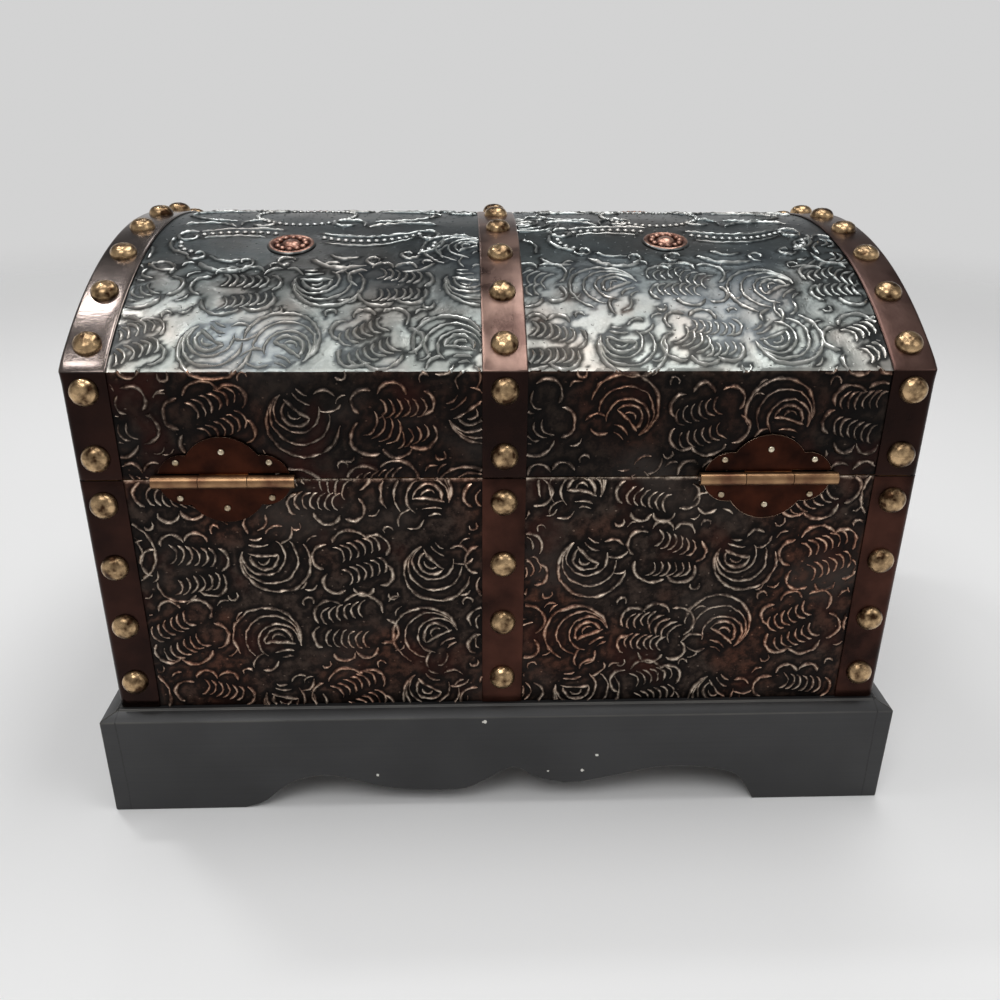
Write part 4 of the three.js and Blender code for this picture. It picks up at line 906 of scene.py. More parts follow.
# Places of the rosettes: across the lid, and along the sheet from the back eave
ROSETTES = {"left": (-83.6 * MM, 98.3 * MM, 20), "right": (101.9 * MM, 93.1 * MM, 22)}
ROSETTE_CORE = 10.6
ROSETTE_SIDES = 40
ROSETTE_DISC = [
    (12.2, -0.5), (11.7, 0.3), (11, 1.3), (10.1, 1.6), (9.3, 1.2), (8.7, 0.7), (5.6, 0.6), (4.4, 0.8),
    (3.8, 1.7), (2.4, 2.4), (0.8, 2.6),
]
ROSETTE_BEAD = [(1.5, 0.4), (1.5, 1.1), (1.1, 1.9), (0.4, 2.2)]
ROSETTE_BEADS = 12
ROSETTE_BEAD_RING = 7
ROSETTE_BEAD_SIDES = 10
ROSETTE_FOOT = 0.5
ROSETTE_BARE = 1.1
ROSETTE_OXIDE = 0.02
# Strokes of half a medallion about its rosette, and its rows of beads
MEDALLION = [
    (-47, 17.5, -7, 20.5, 3, 1.1), (13, 15, 64, 20, -7, 1.1), (-44, 8.5, -14, 9.5, 2.5, 0.8),
    (16, 2.5, 60, 9.5, -7, 0.8), (-51, 10, 7.5, 2.4, 66, 420, 1.35), (66, 12, 7.5, 2.4, 128, -230, 1.35),
    (-58, 8, -47, -12, -5, 1.3), (-43, -12, 5, 2, 190, 500, 1.2), (74, 10, 62, -10, 5, 1.3),
    (58, -11, 5, 2, -10, -320, 1.2), (-41, -20, -17, -25, -5, 1.7), (-37, -13, -22, -17, -3, 1.1),
    (-19, -19, 4.6, 2, 260, 560, 1.1), (12, -17, 38, -22, -5, 1.6), (20, -11.5, 34, -14, -3, 1.1),
    (42, -17, 4.6, 2, 280, -20, 1.1), (0, -19, 5, 2.4, 30, 330, 1.1), (-9, -30, -1, -25, 2, 1),
    (9, -30, 1, -25, -2, 1), (-20, 32, 10, 3.6, 200, -170, 1.3), (24, 32, 10, 3.6, -20, 350, 1.3),
    (-58, 30, -32, 26, 5, 1.3), (36, 26, 70, 31, 5, 1.3),
]
MEDALLION_OUTER = [
    (-72, 2, -66, -14, 3, 1), (-64, -20, -50, -26, -3, 1), (78, 0, 74, -14, -3, 1), (70, -20, 56, -27, 3, 1),
]
MEDALLION_BEADS = [
    (-45, 13, -10, 15, 3, 1), (15, 9, 62, 14.5, -7, 1), (-54, 2, -47, -8, -2, 1), (70, 2, 64, -7, 2, 1),
]
CROWN_RING = 26


def medallion(to_crown):
    """The lines and bead rows of half a medallion round its rosette, up to the crown."""
    top = to_crown - 2
    to_top = [(-62, top, -34, 38, -5, 1.1), (38, 38, 72, top, -5, 1.1)]
    ring = (0, to_crown, CROWN_RING, CROWN_RING, 180, 360, 1)
    return strokes(MEDALLION + to_top + MEDALLION_OUTER), strokes(MEDALLION_BEADS + [ring])


def mirrored(lines, crown):
    """Strokes and their like on the far side of the crown."""
    return lines + [([(x, 2 * crown - y) for x, y in points], weight) for points, weight in lines]


def turned(profile, sides, x=0.0, y=0.0):
    """A shape turned from a profile of radius and height in millimetres: its corners and faces."""
    corners = []
    faces = []
    for radius, height in profile:
        corners += [(*corner, height) for corner in circle(x, y, radius, sides)]
    for low in range(0, (len(profile) - 1) * sides, sides):
        for side in range(sides):
            after = (side + 1) % sides
            faces.append((low + side, low + after, low + sides + after, low + sides + side))
    faces.append(tuple(range(sides - 1, -1, -1)))
    faces.append(tuple(range((len(profile) - 1) * sides, len(profile) * sides)))
    return corners, faces


def joined(name, shapes):
    """Turned shapes as one mesh."""
    corners = []
    faces = []
    for shape_corners, shape_faces in shapes:
        faces += [tuple(len(corners) + i for i in face) for face in shape_faces]
        corners += shape_corners
    return shaped(name, corners, faces)


def rosette(name, places):
    """Rosettes in a bay's flat space: a raised rim, a ring of beads and a domed core."""
    shapes = []
    for x, y in places:
        shapes.append(turned(ROSETTE_DISC, ROSETTE_SIDES, x, y))
        for bead_x, bead_y in circle(x, y, ROSETTE_BEAD_RING, ROSETTE_BEADS):
            shapes.append(turned(ROSETTE_BEAD, ROSETTE_BEAD_SIDES, bead_x, bead_y))
    mesh = joined(name, shapes)
    rub = mesh.attributes.new("rub", "FLOAT", "POINT")
    heights = positions(mesh)[:, 2] / MM
    rub.data.foreach_set("value", np.clip((heights - ROSETTE_FOOT) / ROSETTE_BARE, ROSETTE_OXIDE, 1))
    return bpy.data.objects.new(name, mesh)


def dome_cover(name, mesh, middle, core_x, core_runs):
    """A flat lid bay bent up the back rail, over the dome and down the front rail."""
    refinished(mesh, lid_copper, pewter_painted_pale, rosette_copper)
    points = positions(mesh)
    centres = np.empty(len(mesh.polygons) * 3)
    mesh.polygons.foreach_get("center", centres)
    centres = centres.reshape(-1, 3)
    indices = ((centres[:, 1] > RAIL) & (centres[:, 1] < RAIL + FLAT_ARC)).astype(np.int32)
    for run in core_runs:
        near = np.hypot(centres[:, 0] - core_x, centres[:, 1] - run) < ROSETTE_CORE * MM
        indices[near] = 2
    mesh.polygons.foreach_set("material_index", indices)
    across, run, lift = points.T
    angle = DOME_REACH * (1 - 2 * np.clip((run - RAIL) / FLAT_ARC, 0, 1))
    over = DOME_CENTRE + SHEET_R * np.cos(angle)
    z = np.where(run < RAIL, LID_BASE + run, np.where(run > RAIL + FLAT_ARC, LID_BASE + LID_RUN - run, over))
    bend = np.clip((np.minimum(run, LID_RUN - run) - RAIL) / MM * 0.5 + 0.5, 0, 1)
    upright = math.pi / 2
    facing = np.where(bend < 1, upright + (DOME_REACH - upright) * bend, np.abs(angle))
    facing = facing * np.sign(CROWN - run)
    y = SHEET_R * np.sin(angle) + lift * np.sin(facing)
    z = z + lift * np.cos(facing)
    mesh.vertices.foreach_set("co", np.stack([middle - across, y, z], axis=1).ravel())
    mesh.update()
    smoothed(mesh)
    placed(name, mesh, "lid", ["lid_sheet"])


for side, (core_place, core_run, seed) in ROSETTES.items():
    middle = math.copysign(BAY_X, core_place)
    core_x = middle - core_place
    run = RAIL + core_run
    drawings = []
    for lines in medallion((CROWN - run) / MM):
        drawings.append(mirrored(moved(lines, core_x / MM, run / MM), CROWN / MM))
    cores = [(core_x / MM, run / MM), (core_x / MM, (LID_RUN - run) / MM)]
    seat = (middle / MM - HINGE_PLACES[side], (SEAM - LID_BASE) / MM)
    flat = embossed(bay_values(BAY_WIDTH, LID_RUN, seed, **{
        "Cells along": 2 * RAIL_CELLS + ARC_CELLS + 1,
        "Clear centre": (core_x, CROWN, 0), "Clear reach": MEDALLION_REACH,
        "Drawn lines": stroke_curves(f"medallion_lines_{side}", drawings[0]),
        "Drawn beads": stroke_curves(f"medallion_beads_{side}", drawings[1]),
        "Bosses": rosette(f"rosettes_{side}", cores), "Seats": seats(f"seats_lid_{side}", [seat]),
    }))
    painted_edge_highlight(flat, [RAIL, LID_RUN - RAIL], *EAVE_PAINTED_HIGHLIGHT)
    dome_cover(f"lid_cover_{side}", flat, middle, core_x, (run, LID_RUN - run))

# End covers: an arched sheet of the same embossing on each end of the lid, cut to the curve of the
# dome and held under the flange of the end strap. Copper, like the rails.
ARCH_RADIUS = 225.5 * MM
ARCH_DROP = LID_BASE - DOME_CENTRE
for side, sign, seed in (("right", 1, 31), ("left", -1, 32)):
    arch = {"Arched": True, "Arch radius": ARCH_RADIUS, "Arch drop": ARCH_DROP}
    flat = embossed(bay_values(2 * (SHEET_Y - STRAP * MM), ARCH_RADIUS - ARCH_DROP, seed, **arch))
    origin = (sign * SHEET_X, 0, LID_BASE)
    flat_cover(f"lid_cover_{side}_end", f"lid_sheet_{side}", "lid", flat, lid_copper, origin, (sign, 0, 0))

# Straps: bands of copper sheet laid over the joins of the covers, one down the middle and one folded
# round each end, with their edges pressed down. Browned nearly black on the upright faces, with
# painted shade on the lid's rail and a darkening towards the +X end. On the dome they are a paler pink
# copper, a painted reflection of the light from above, with a painted grey glare towards the +X end,
# which is also polished, and painted shade in brown towards the other.
STRAP_SHEET = 0.8
STRAP_OUT = 1.9
STRAP_EDGE = 0.35
STRAP_FOLD = 3.9
STRAP_ARRIS = 0.2
STRAP_ANGLE = 50
STRAP_CREASE = 42
STRAP_STEP = 5
STRAP_X = CASE_X + STRAP_OUT * MM
STRAP_Y = CASE_Y + STRAP_OUT * MM
STRAP_R = DOME_RADIUS + STRAP_OUT * MM
STRAP_EAVE = DOME_CENTRE + math.sqrt(STRAP_R**2 - STRAP_Y**2)
STRAP_REACH = math.asin(STRAP_Y / STRAP_R)
DOME_FOLD = 1.6
FOLD_BLEND = 4
END_FLANGE = 8
EAVE_STOP = 0.8
EAVE_TURN = 0.25
EAVE_LEAN = 0.2
DOME_SHARE = 0.995
DENT = 0.09
DENT_WAVES = (190, 310, 230, 170)
DENT_PHASE = 1.3
# Rows across a band: places in millimetres, or shares of its reach, with how far the edge is pressed
FLAT_PROFILE = [
    (-10, 1), (-9.5, 0.35), (-8.7, 0), (-4.5, 0), (0, 0), (4.5, 0), (8.7, 0), (9.5, 0.35), (10, 1),
]
FOLD_NEAR = [(1, 1), (0.975, 0.35), (0.93, 0), (0.7, 0), (0.45, 0)]
FOLD_FAR = [(0.7, 0), (0.9, 0), (0.96, 0.35), (1, 1)]
FOLD_STEPS = 5
BAND_CLOUD = 22
BAND_PIT = 1.8
BAND_PIT_DEPTH = 0.08
BAND_DARK = [(0.35, "#20110d"), (0.7, "#4a2c23")]
# Painted reflection: the paler pink that the bands take on the dome
BAND_DOME_REFLECTION = [(0.35, "#54403a"), (0.65, "#94796e")]
# The darkest colour, for painted shade on the rail and a darkening towards +X; painted brown shade and a
# painted grey glare at the ends of the dome
BAND_DARKEST = "#1a100e"
BAND_PAINTED_SHADE = "#46322d"
BAND_PAINTED_GLARE = "#6f6763"
END_DARKENING = (20 * MM, 150 * MM, 0, 0.6)
RAIL_PAINTED_SHADE = (SEAM - MM, SEAM + MM, 0, 0.75)
TO_DOME = (STRAP_EAVE - 0.6 * MM, STRAP_EAVE + 0.2 * MM)
TO_PAINTED_SHADE = (-20 * MM, -150 * MM, 0, 0.85)
TO_PAINTED_GLARE = (20 * MM, 150 * MM, 0, 0.85)
BAND_METAL = (0, 1, 0.9, 0.95)
BAND_ROUGH = (0.3, 0.7, 0.24, 0.38)
BAND_POLISH = -0.13


def strap_copper():
    """Browned copper: dark and dull upright, with painted shade on the rail; a paler pink on the dome
    as a painted reflection, with a painted grey glare towards one end and painted brown shade
    towards the other.
    """
    material, node, place = new_finish("browned_copper_band")
    across, _, height = node("ShaderNodeSeparateXYZ", place).node.outputs
    cloud = node("ShaderNodeTexNoise", {"Vector": place, "Scale": per_mm(BAND_CLOUD), "Detail": 5})
    pits = node("ShaderNodeTexNoise", {"Vector": place, "Scale": per_mm(BAND_PIT), "Detail": 3})
    upright = node("ShaderNodeValToRGB", cloud, stops=BAND_DARK)
    # Painted shade on the rail part, and a darkening towards the +X end of the upright faces
    end_darkening = node("ShaderNodeMapRange", across, *END_DARKENING)
    rail_painted_shade = node("ShaderNodeMapRange", height, *RAIL_PAINTED_SHADE)
    darkening_and_shade = node("ShaderNodeMath", end_darkening, rail_painted_shade, operation="MAXIMUM")
    upright = node("ShaderNodeMix", darkening_and_shade, upright, BAND_DARKEST, data_type="RGBA")
    # Painted reflection: the dome's paler pink, with painted brown shade towards -X and a painted grey glare
    # towards +X
    rub_and_reflection = node("ShaderNodeValToRGB", cloud, stops=BAND_DOME_REFLECTION)
    painted_shade_end = node("ShaderNodeMapRange", across, *TO_PAINTED_SHADE)
    rub_and_reflection = node("ShaderNodeMix", painted_shade_end, rub_and_reflection, BAND_PAINTED_SHADE, data_type="RGBA")
    painted_glare_end = node("ShaderNodeMapRange", across, *TO_PAINTED_GLARE)
    rub_and_reflection = node("ShaderNodeMix", painted_glare_end, rub_and_reflection, BAND_PAINTED_GLARE, data_type="RGBA")
    dome = node("ShaderNodeMapRange", height, *TO_DOME)
    colour = node("ShaderNodeMix", dome, upright, rub_and_reflection, data_type="RGBA")
    metal = node("ShaderNodeMapRange", dome, *BAND_METAL)
    rough = node("ShaderNodeMapRange", cloud, *BAND_ROUGH)
    rough = node("ShaderNodeMath", painted_glare_end, BAND_POLISH, rough, operation="MULTIPLY_ADD")
    relief = node("ShaderNodeBump", {"Height": pits, "Distance": BAND_PIT_DEPTH * MM, "Strength": 0.6})
    return dressed(material, Base_Color=colour, Metallic=metal, Roughness=rough, Normal=relief)


band_copper = strap_copper()


def band(name, node, body, rows, outward):
    """A band of strap sheet lofted through rows of points: its face, then its thickness inwards."""
    count = len(rows[0])
    faces = []
    for low in range(0, (len(rows) - 1) * count, count):
        for start in range(low, low + count - 1):
            faces.append((start, start + 1, start + count + 1, start + count))
    mesh = bpy.data.meshes.new("band")
    mesh.from_pydata([point for row in rows for point in row], [], faces)
    mesh.update()
    if mesh.polygons[1].normal.dot(Vector(outward)) < 0:
        mesh.flip_normals()
    mesh.materials.append(band_copper)
    mesh.shade_smooth()
    piece = placed(name, mesh, body, [node])
    wall = piece.modifiers.new("sheet", "SOLIDIFY")
    wall.thickness = STRAP_SHEET * MM
    wall.offset = -1
    wall.use_even_offset = True
    rounded(piece, STRAP_ARRIS, STRAP_ANGLE)
    smoothed(piece.data, STRAP_CREASE)


def stations(low, high, step):
    """Evenly spaced values from low to high, about a step apart."""
    return list(np.linspace(low, high, max(2, int(round(abs(high - low) / step)) + 1)))


def lid_path():
    """Places along the lid from the back seam to the front one: Y, Z and the way the face looks."""
    upright = math.pi / 2
    stop = STRAP_EAVE - EAVE_STOP * MM
    rise = [(STRAP_Y, z, upright) for z in stations(LID_BASE, stop, STRAP_STEP * MM)]
    lean = upright * (1 - EAVE_LEAN) + STRAP_REACH * EAVE_LEAN
    rise.append((STRAP_Y, STRAP_EAVE - EAVE_TURN * MM, lean))
    reach = STRAP_REACH * DOME_SHARE
    over = []
    for angle in stations(reach, -reach, STRAP_STEP * MM / STRAP_R):
        over.append((STRAP_R * math.sin(angle), DOME_CENTRE + STRAP_R * math.cos(angle), angle))
    return rise + over + [(-y, z, -angle) for y, z, angle in reversed(rise)]


def buckle(x, y, z):
    """How far a band is dented at a place: a slow, slight waviness, the same on every run."""
    a, b, c, d = DENT_WAVES
    return DENT * MM * math.sin(x * a + z * b) * math.sin(y * c - z * d + DENT_PHASE)


def middle_rows(path):
    """Rows across the middle band at each place of a path."""
    rows = []
    for y, z, angle in path:
        row = []
        for x, drop in FLAT_PROFILE:
            lift = -drop * STRAP_EDGE * MM + (buckle(x * MM, y, z) if drop == 0 else 0)
            row.append((x * MM, y + lift * math.sin(angle), z + lift * math.cos(angle)))
        rows.append(row)
    return rows


def folded_row(corner, sideways, down, fold):
    """A row across a band that is folded over a sharp corner, from one pressed edge to the other."""
    lead = down.normalized()
    press = STRAP_EDGE * MM
    row = [corner + sideways * STRAP * MM * share + lead * press * drop for share, drop in FOLD_NEAR]
    for step in range(FOLD_STEPS + 1):
        t = step / FOLD_STEPS
        row.append(corner + sideways * fold * (1 - t) ** 2 + lead * fold * t**2)
    for share, drop in FOLD_FAR:
        row.append(corner + lead * (fold + (down.length - fold) * share) + sideways * press * drop)
    return row


upright_run = stations(BOX_BASE, BODY_TOP, STRAP_STEP * MM)
for face, sy in (("back", 1), ("front", -1)):
    rows = middle_rows([(sy * STRAP_Y, z, sy * math.pi / 2) for z in upright_run])
    band(f"middle_band_{face}", f"body_strap_{face}", "trunk_box", rows, (0, sy, 0))
band("middle_band_lid", "lid_strap_center", "lid", middle_rows(lid_path()), (0, 1, 0))
for face, sy in (("back", 1), ("front", -1)):
    for side, sx in (("right", 1), ("left", -1)):
        rows = []
        for z in upright_run:
            corner = Vector((sx * STRAP_X, sy * STRAP_Y, z))
            down = Vector((0, -sy * STRAP * MM, 0))
            rows.append(folded_row(corner, Vector((-sx, 0, 0)), down, STRAP_FOLD * MM))
        band(f"corner_band_{face}_{side}", f"corner_strap_{face}_{side}", "trunk_box", rows, (0, sy, 0))

WINDOW_Y = STRAP_Y - STRAP * MM
WINDOW_R = STRAP_R - END_FLANGE * MM
WINDOW_TOP = DOME_CENTRE + math.sqrt(WINDOW_R**2 - WINDOW_Y**2)
WINDOW_REACH = math.asin(WINDOW_Y / WINDOW_R)
for side, sx in (("right", 1), ("left", -1)):
    rows = []
    for y, z, angle in lid_path():
        corner = Vector((sx * STRAP_X, y, z))
        inner_y = WINDOW_R * math.sin(angle)
        inner_z = DOME_CENTRE + WINDOW_R * math.cos(angle)
        if abs(angle) > STRAP_REACH:
            inner_y = math.copysign(WINDOW_Y, y)
            inner_z = z
        elif abs(inner_y) > WINDOW_Y:
            rise = (STRAP_REACH - abs(angle)) / (STRAP_REACH - WINDOW_REACH)
            inner_y = math.copysign(WINDOW_Y, y)
            inner_z = STRAP_EAVE + (WINDOW_TOP - STRAP_EAVE) * rise
        down = Vector((sx * STRAP_X, inner_y, inner_z)) - corner
        dome = min(1, max(0, (z - STRAP_EAVE) / (2 * FOLD_BLEND * MM) + 0.5))
        fold = (STRAP_FOLD + (DOME_FOLD - STRAP_FOLD) * dome) * MM
        rows.append(folded_row(corner, Vector((-sx, 0, 0)), down, fold))
    band(f"end_band_{side}", f"lid_strap_{side}", "lid", rows, (0, 1, 0))

# Studs: domed nails of antique brass, spun from sheet and driven through the bands into the boards
# at even steps. Their heads are lightly hammered, yellow with clouds of brown tarnish.
STUD_RADIUS = 6.25
STUD_RISE = 4.5
STUD_SIDES = 28
STUD_DENTS = 0.12
# Profile of a head: shares of its radius and rise, from under its foot to its crown
HEAD_PROFILE = [
    (1, -0.07), (1, 0.12), (0.985, 0.24), (0.93, 0.44), (0.81, 0.66), (0.64, 0.83), (0.42, 0.94),
    (0.2, 0.99), (0.03, 1),
]
HEAD_SMOOTH = 0.3
HEAD_CREASE = 60
DENT_TURNS = (2.1, 0.7, 1.9, 0.4)
BODY_STUDS = [168 * MM, 136.33 * MM, 104.67 * MM, 73 * MM]
RAIL_STUDS = [221 * MM, 190.5 * MM]
DOME_STUD_INSET = 15 * MM
DOME_STUD_COUNT = 9
BOX_STUD_SEED = 41
LID_STUD_SEED = 42
STUD_BRASS = ("#3c2819", "#cbab82")
TACK_BRASS = ("#a08c70", "#e0d4bc")
BRASS_PLACES = (0.36, 0.64)
BRASS_ROUGH = (0.3, 0.7, 0.38, 0.2)
BRASS_MARK = 2.6
BRASS_MARK_DEPTH = 0.5
BRASS_TARNISH = 5


def antique_brass(name, tones):
    """Antique brass: yellow metal with clouds of brown tarnish, hammer marks and a satin shine."""
    material, node, place = new_finish(name)
    marks = {"Vector": place, "Scale": per_mm(BRASS_MARK)}
    marks = node("ShaderNodeTexVoronoi", marks, feature="SMOOTH_F1")
    tarnish = node("ShaderNodeTexNoise", {"Vector": place, "Scale": per_mm(BRASS_TARNISH), "Detail": 4})
    colour = node("ShaderNodeValToRGB", tarnish, stops=zip(BRASS_PLACES, tones))
    rough = node("ShaderNodeMapRange", tarnish, *BRASS_ROUGH)
    relief = node("ShaderNodeBump", {"Height": marks, "Distance": BRASS_MARK_DEPTH * MM, "Strength": 0.4})
    return dressed(material, Metallic=0.95, Base_Color=colour, Roughness=rough, Normal=relief)


def nail_tree():
    """The nodes that set a head on each point, standing along the point's own outward way."""
    inputs = {"Geometry": ("Points",), "Object": ("Head",), "Int": ("Seed",), "Material": ("Finish",)}
    tree, node, given = new_tree("driven_nails", inputs)
    outward = node("GeometryNodeInputNamedAttribute", "outward", data_type="FLOAT_VECTOR")
    standing = node("FunctionNodeAlignRotationToVector", {"Vector": outward}, axis="Z")
    spin = node("FunctionNodeRandomValue", 0, 2 * math.pi, {"Seed": given["Seed"]}, data_type="FLOAT")
    about = node("FunctionNodeAxisAngleToRotation", (0, 0, 1), spin)
    way = node("FunctionNodeRotateRotation", standing, about, rotation_space="LOCAL")
    head = node("GeometryNodeObjectInfo", given["Head"]).node.outputs["Geometry"]
    driven = {"Points": given["Points"], "Instance": head, "Rotation": way}
    close_tree(node, node("GeometryNodeInstanceOnPoints", driven), given["Finish"])
    return tree


nail_nodes = nail_tree()


def nails(name, body, head, finish, seed, places, nodes=()):
    """One body's nails, each at its place and standing outwards, as one piece."""
    mesh = bpy.data.meshes.new(name)
    mesh.from_pydata([place for place, outward in places], [], [])
    way = mesh.attributes.new("outward", "FLOAT_VECTOR", "POINT")
    way.data.foreach_set("vector", [value for place, outward in places for value in outward])
    piece = placed(name, mesh, body, nodes)
    run_tree(piece, nail_nodes, {"Head": head, "Seed": seed, "Finish": finish})
    smoothed(piece.data, HEAD_CREASE)


def hammered_head(name, radius, rise, sides, dents):
    """A domed head turned from its profile, its crown dented a little."""
    mesh = joined(name, [turned([(radius * r, rise * h) for r, h in HEAD_PROFILE], sides)])
    a, b, c, d = DENT_TURNS
    for vertex in mesh.vertices:
        x, y, z = vertex.co / MM
        if z > HEAD_SMOOTH * rise:
            vertex.co.z += dents * MM * math.sin(a * x + b) * math.sin(c * y + d)
    return bpy.data.objects.new(name, mesh)


brass = antique_brass("hammered_antique_brass", STUD_BRASS)
stud_head = hammered_head("stud_head", STUD_RADIUS, STUD_RISE, STUD_SIDES, STUD_DENTS)
stud_column = STRAP_X - STRAP / 2 * MM
stud_columns = (-stud_column, 0.0, stud_column)
box_places = []
lid_places = []
for sign in (1, -1):
    for x in stud_columns:
        front_middle = sign < 0 and x == 0
        for z in BODY_STUDS[1:] if front_middle else BODY_STUDS:
            box_places.append(((x, sign * STRAP_Y, z), (0, sign, 0)))
        for z in RAIL_STUDS[:1] if front_middle else RAIL_STUDS:
            lid_places.append(((x, sign * STRAP_Y, z), (0, sign, 0)))
dome_end = STRAP_REACH - DOME_STUD_INSET / STRAP_R
for x in stud_columns:
    for angle in np.linspace(-dome_end, dome_end, DOME_STUD_COUNT):
        outward = (0, math.sin(angle), math.cos(angle))
        lid_places.append(((x, STRAP_R * outward[1], DOME_CENTRE + STRAP_R * outward[2]), outward))
nails("box_studs", "trunk_box", stud_head, brass, BOX_STUD_SEED, box_places)
nails("lid_studs", "lid", stud_head, brass, LID_STUD_SEED, lid_places)

# Hinges: a pair of lobed copper leaves, each stamped with half the knuckles, turned on a steel pin
# and tacked with three small domed nails. The leaves are browned dark with a thin rim that is rubbed
# and painted pale as a highlight, and the knuckles are worn bright by the swing of the lid.
HINGE_Y = 142.2 * MM
KNUCKLE_WORN = (3.1 * MM, 3.4 * MM, 1, 0)
LEAF_ARRIS = 0.6
LEAF_CLOUD = 12
LEAF_DENT = 0.3
LEAF_PLACES = (0.35, 0.7)
LEAF_BROWNED = ("#1c0b06", "#3d1d11")
# Painted highlight: the rim's rubbed copper is painted near white so the arris shows as a bright line
LEAF_RIM_PAINTED_HIGHLIGHT = ("#cfa888", "#f0d8c0")
LEAF_METAL = (0, 1, 0.93, 0.95)
KNUCKLE_TONES = [(0.35, "#6b4a38"), (0.65, "#ab8763")]
STEEL_TONES = [(0.4, "#6b5648"), (0.6, "#a5a19a")]
STEEL_SPOT = 3
PIN_ARRIS = 0.15
NAIL_RADIUS = 1.5
NAIL_RISE = 0.9
NAIL_SIDES = 14
NAIL_SEED = 43


def hinge_copper(name, tones):
    """Copper leaf, browned, or rubbed and painted pale as a highlight for the rim, that is worn bright over
    the knuckle.
    """
    material, node, place = new_finish(name)
    _, y, z = node("ShaderNodeSeparateXYZ", place).node.outputs
    cloud = node("ShaderNodeTexNoise", {"Vector": place, "Scale": per_mm(LEAF_CLOUD), "Detail": 5})
    leaf = node("ShaderNodeValToRGB", cloud, stops=zip(LEAF_PLACES, tones))
    bright = node("ShaderNodeValToRGB", cloud, stops=KNUCKLE_TONES)
    flat_place = node("ShaderNodeCombineXYZ", {1: y, 2: z})
    from_pin = node("ShaderNodeVectorMath", flat_place, (0, HINGE_Y, SEAM), operation="DISTANCE")
    worn = node("ShaderNodeMapRange", from_pin, *KNUCKLE_WORN)
    colour = node("ShaderNodeMix", worn, leaf, bright, data_type="RGBA")
    metal = node("ShaderNodeMapRange", worn, *LEAF_METAL)
    relief = node("ShaderNodeBump", {"Height": cloud, "Distance": LEAF_DENT * MM, "Strength": 0.5})
    return dressed(material, Base_Color=colour, Metallic=metal, Roughness=0.3, Normal=relief)


def steel_wire():
    """Drawn steel wire: grey, fine-grained and a little rusted."""
    material, node, place = new_finish("drawn_steel_wire")
    spots = node("ShaderNodeTexNoise", {"Vector": place, "Scale": per_mm(STEEL_SPOT), "Detail": 4})
    colour = node("ShaderNodeValToRGB", spots, stops=STEEL_TONES)
    return dressed(material, Metallic=1, Roughness=0.4, Base_Color=colour)


tack_brass = antique_brass("rubbed_tack_brass", TACK_BRASS)
leaf_copper = hinge_copper("browned_copper_leaf", LEAF_BROWNED)
rim_copper_highlighted = hinge_copper("rubbed_copper_rim_painted_highlight", LEAF_RIM_PAINTED_HIGHLIGHT)
steel = steel_wire()
nail_head = hammered_head("nail_head", NAIL_RADIUS, NAIL_RISE, NAIL_SIDES, 0)
for half, body in {"lower": "trunk_box", "upper": "lid"}.items():
    tacks = []
    nodes = []
    for side in ("left", "right"):
        softened(
            f"hinge_leaf_{side}_{half}", f"hinge_{side}_{half}_leaf", body,
            [leaf_copper, rim_copper_highlighted], LEAF_ARRIS,
        )
        for place in ("left", "middle", "right"):
            node = f"hinge_nail_{half}_{side}_{place}"
            low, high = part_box(node)
            tacks.append((((low.x + high.x) / 2, high.y - NAIL_RISE * MM, (low.z + high.z) / 2), (0, 1, 0)))
            nodes.append(node)
    nails(f"hinge_nails_{half}", body, nail_head, tack_brass, NAIL_SEED, tacks, nodes)
for side in ("left", "right"):
    softened(f"hinge_wire_{side}", f"hinge_{side}_pin", "trunk_box", [steel], PIN_ARRIS)

# Latch: two small copper plates nailed to the front, a brass peg below and a brass hook that hangs
# from a riveted pivot above and swings over the peg. Its edges are filed round.
LATCH_ARRIS = 0.35
LATCH_SEGMENTS = 3
for name, node, body in (
    ("latch_keep_plate", "latch_body_plate", "trunk_box"),
    ("latch_pivot_plate", "latch_lid_plate", "lid"),
):
    softened(name, node, body, [leaf_copper, rim_copper_highlighted], LEAF_ARRIS)
for name, node, body in (
    ("latch_keep_peg", "latch_peg", "trunk_box"),
    ("latch_rivet", "latch_pivot", "lid"),
    ("latch_swing_hook", "latch_hook", "latch_hook"),
):
    softened(name, node, body, [brass], LATCH_ARRIS, LATCH_SEGMENTS)

# Studio: a pale floor that thins out into the backdrop a metre off, under a plain sky of soft light,
# pale to the height of a wall and dimmer above it, with four ceiling lamps, a window, a weak fill
# and a far lamp. The camera looks down on the hinged back.
FLOOR_HALF = 3.0
FLOOR_SOLID = (0.75, 2, 1, 0)
FLOOR_COLOUR = "#ececec"
BACKDROP_LEVEL = 0.65
# How light the sky is by its height, behind the camera and beyond the trunk, and where they meet
NEAR_SKY = (0.1, 0.5, 0.5, 0.36)
FAR_SKY = (0.24, 0.4, 0.66, 0.12)
SKY_TURN = (-0.45, -0.05)
# Lamps: place, target, width, depth and watts
LAMPS = {
    "ceiling_lamp_left": ((0.74, -0.48, 1.55), (0.74, -0.53, 0), 0.24, 0.1, 4.1),
    "ceiling_lamp_eave": ((0.74, 0.16, 1.55), (0.74, 0.11, 0), 0.24, 0.16, 1.6),
    "ceiling_lamp_middle": ((0.36, -0.1, 1.55), (0.36, -0.15, 0), 0.25, 0.3, 2.2),
    "ceiling_lamp_right": ((-0.34, -0.22, 1.55), (-0.34, -0.27, 0), 0.5, 1.2, 9.0),
    "window_lamp": ((0.42, 1.2, 1.75), (0, 0, 0.1), 0.9, 0.9, 10.0),
    "fill_lamp": ((-1.2, 0.9, 1.2), (0, 0, 0.1), 0.8, 0.8, 2.5),
    "far_lamp": ((0.5, -1.5, 1.6), (0, 0, 0.2), 0.2, 0.2, 0.8),
}
CAMERA_PLACE = (0.017448, 0.532279, 0.344098)
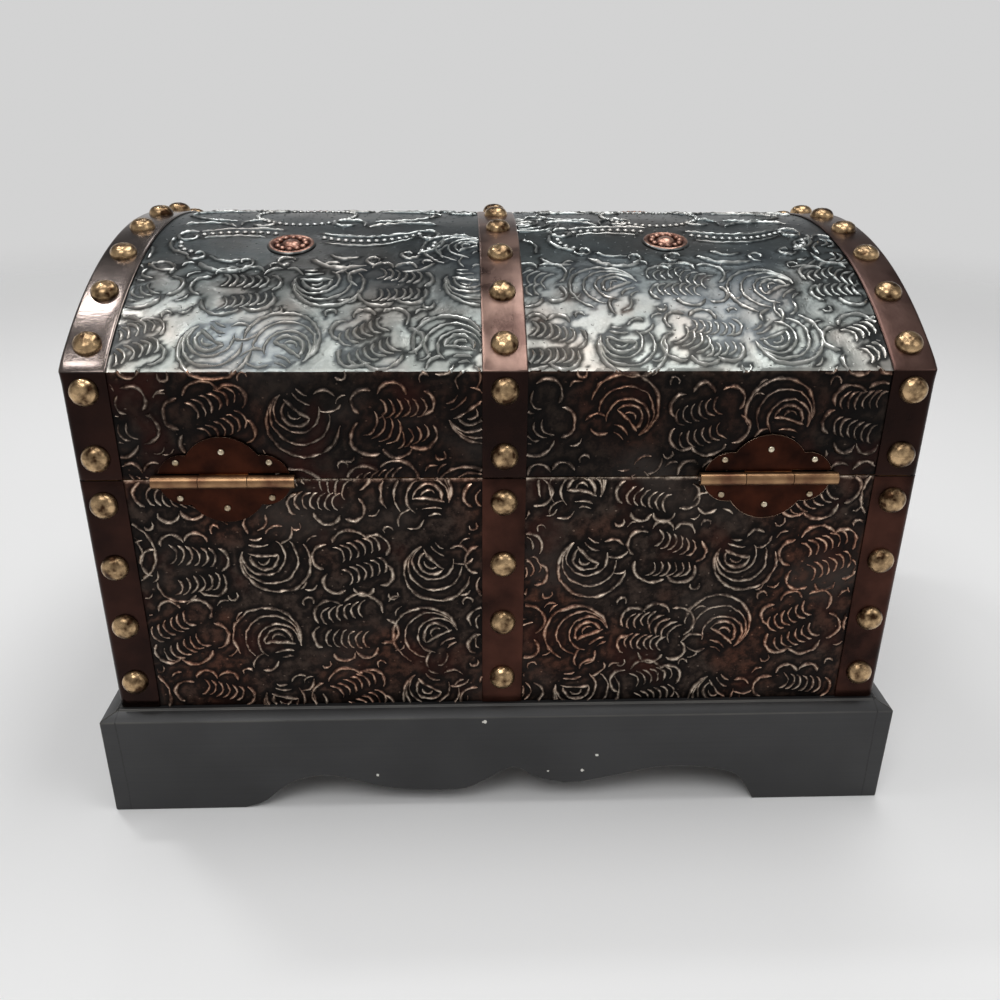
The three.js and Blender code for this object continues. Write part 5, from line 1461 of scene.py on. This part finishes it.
CAMERA_PITCH = math.radians(24.005)
CAMERA_YAW = math.radians(2.276)
CAMERA_ROLL = math.radians(0.518)
CAMERA_LENS = 33.93


def white_card():
    """Matt card: an even white that thins out to nothing far from the trunk."""
    material, node, place = new_finish("matt_white_card")
    away = node("ShaderNodeVectorMath", place, operation="LENGTH")
    solid = node("ShaderNodeMapRange", away, *FLOOR_SOLID, interpolation_type="SMOOTHSTEP")
    return dressed(material, Base_Color=FLOOR_COLOUR, Roughness=0.7, Alpha=solid)


reach = FLOOR_HALF / MM
corners = [(-reach, -reach, 0), (reach, -reach, 0), (reach, reach, 0), (-reach, reach, 0)]
floor = bpy.data.objects.new("studio_floor", shaped("studio_floor", corners, [(0, 1, 2, 3)]))
bpy.context.scene.collection.objects.link(floor)
floor.data.materials.append(white_card())

world = bpy.data.worlds.new("studio")
bpy.context.scene.world = world
world.use_nodes = True
node = partial(add, world.node_tree)
_, towards, up = node("ShaderNodeSeparateXYZ", node("ShaderNodeTexCoord")).node.outputs
near_side = node("ShaderNodeMapRange", up, *NEAR_SKY)
far_side = node("ShaderNodeMapRange", up, *FAR_SKY)
turn = node("ShaderNodeMapRange", towards, *SKY_TURN)
level = node("ShaderNodeMix", turn, far_side, near_side, data_type="FLOAT")
seen = node("ShaderNodeLightPath").node.outputs["Is Camera Ray"]
shown = node("ShaderNodeMix", seen, level, BACKDROP_LEVEL, data_type="FLOAT")
shade = node("ShaderNodeCombineColor", shown, shown, shown)
feed(world.node_tree, world.node_tree.nodes["Background"].inputs["Color"], shade)

for name, (spot, target, width, depth, power) in LAMPS.items():
    light = bpy.data.lights.new(name, "AREA")
    light.shape = "RECTANGLE"
    light.size = width
    light.size_y = depth
    light.energy = power
    lamp = bpy.data.objects.new(name, light)
    lamp.location = spot
    lamp.rotation_euler = (Vector(target) - Vector(spot)).to_track_quat("-Z", "Y").to_euler()
    bpy.context.scene.collection.objects.link(lamp)

forward = Vector((
    -math.sin(CAMERA_YAW) * math.cos(CAMERA_PITCH),
    -math.cos(CAMERA_YAW) * math.cos(CAMERA_PITCH),
    -math.sin(CAMERA_PITCH),
))
level_right = Vector((-math.cos(CAMERA_YAW), math.sin(CAMERA_YAW), 0))
level_up = level_right.cross(forward)
right = level_right * math.cos(CAMERA_ROLL) + level_up * math.sin(CAMERA_ROLL)
above = level_up * math.cos(CAMERA_ROLL) - level_right * math.sin(CAMERA_ROLL)
lens = bpy.data.cameras.new("camera")
lens.lens = CAMERA_LENS
camera = bpy.data.objects.new("camera", lens)
turned_to = Matrix((right, above, -forward)).transposed().to_4x4()
camera.matrix_world = Matrix.Translation(CAMERA_PLACE) @ turned_to
bpy.context.scene.collection.objects.link(camera)
bpy.context.scene.camera = camera
bpy.context.scene.view_settings.view_transform = "Standard"

for spare in ("Cube", "Light"):
    if spare in bpy.data.objects:
        bpy.data.objects.remove(bpy.data.objects[spare])
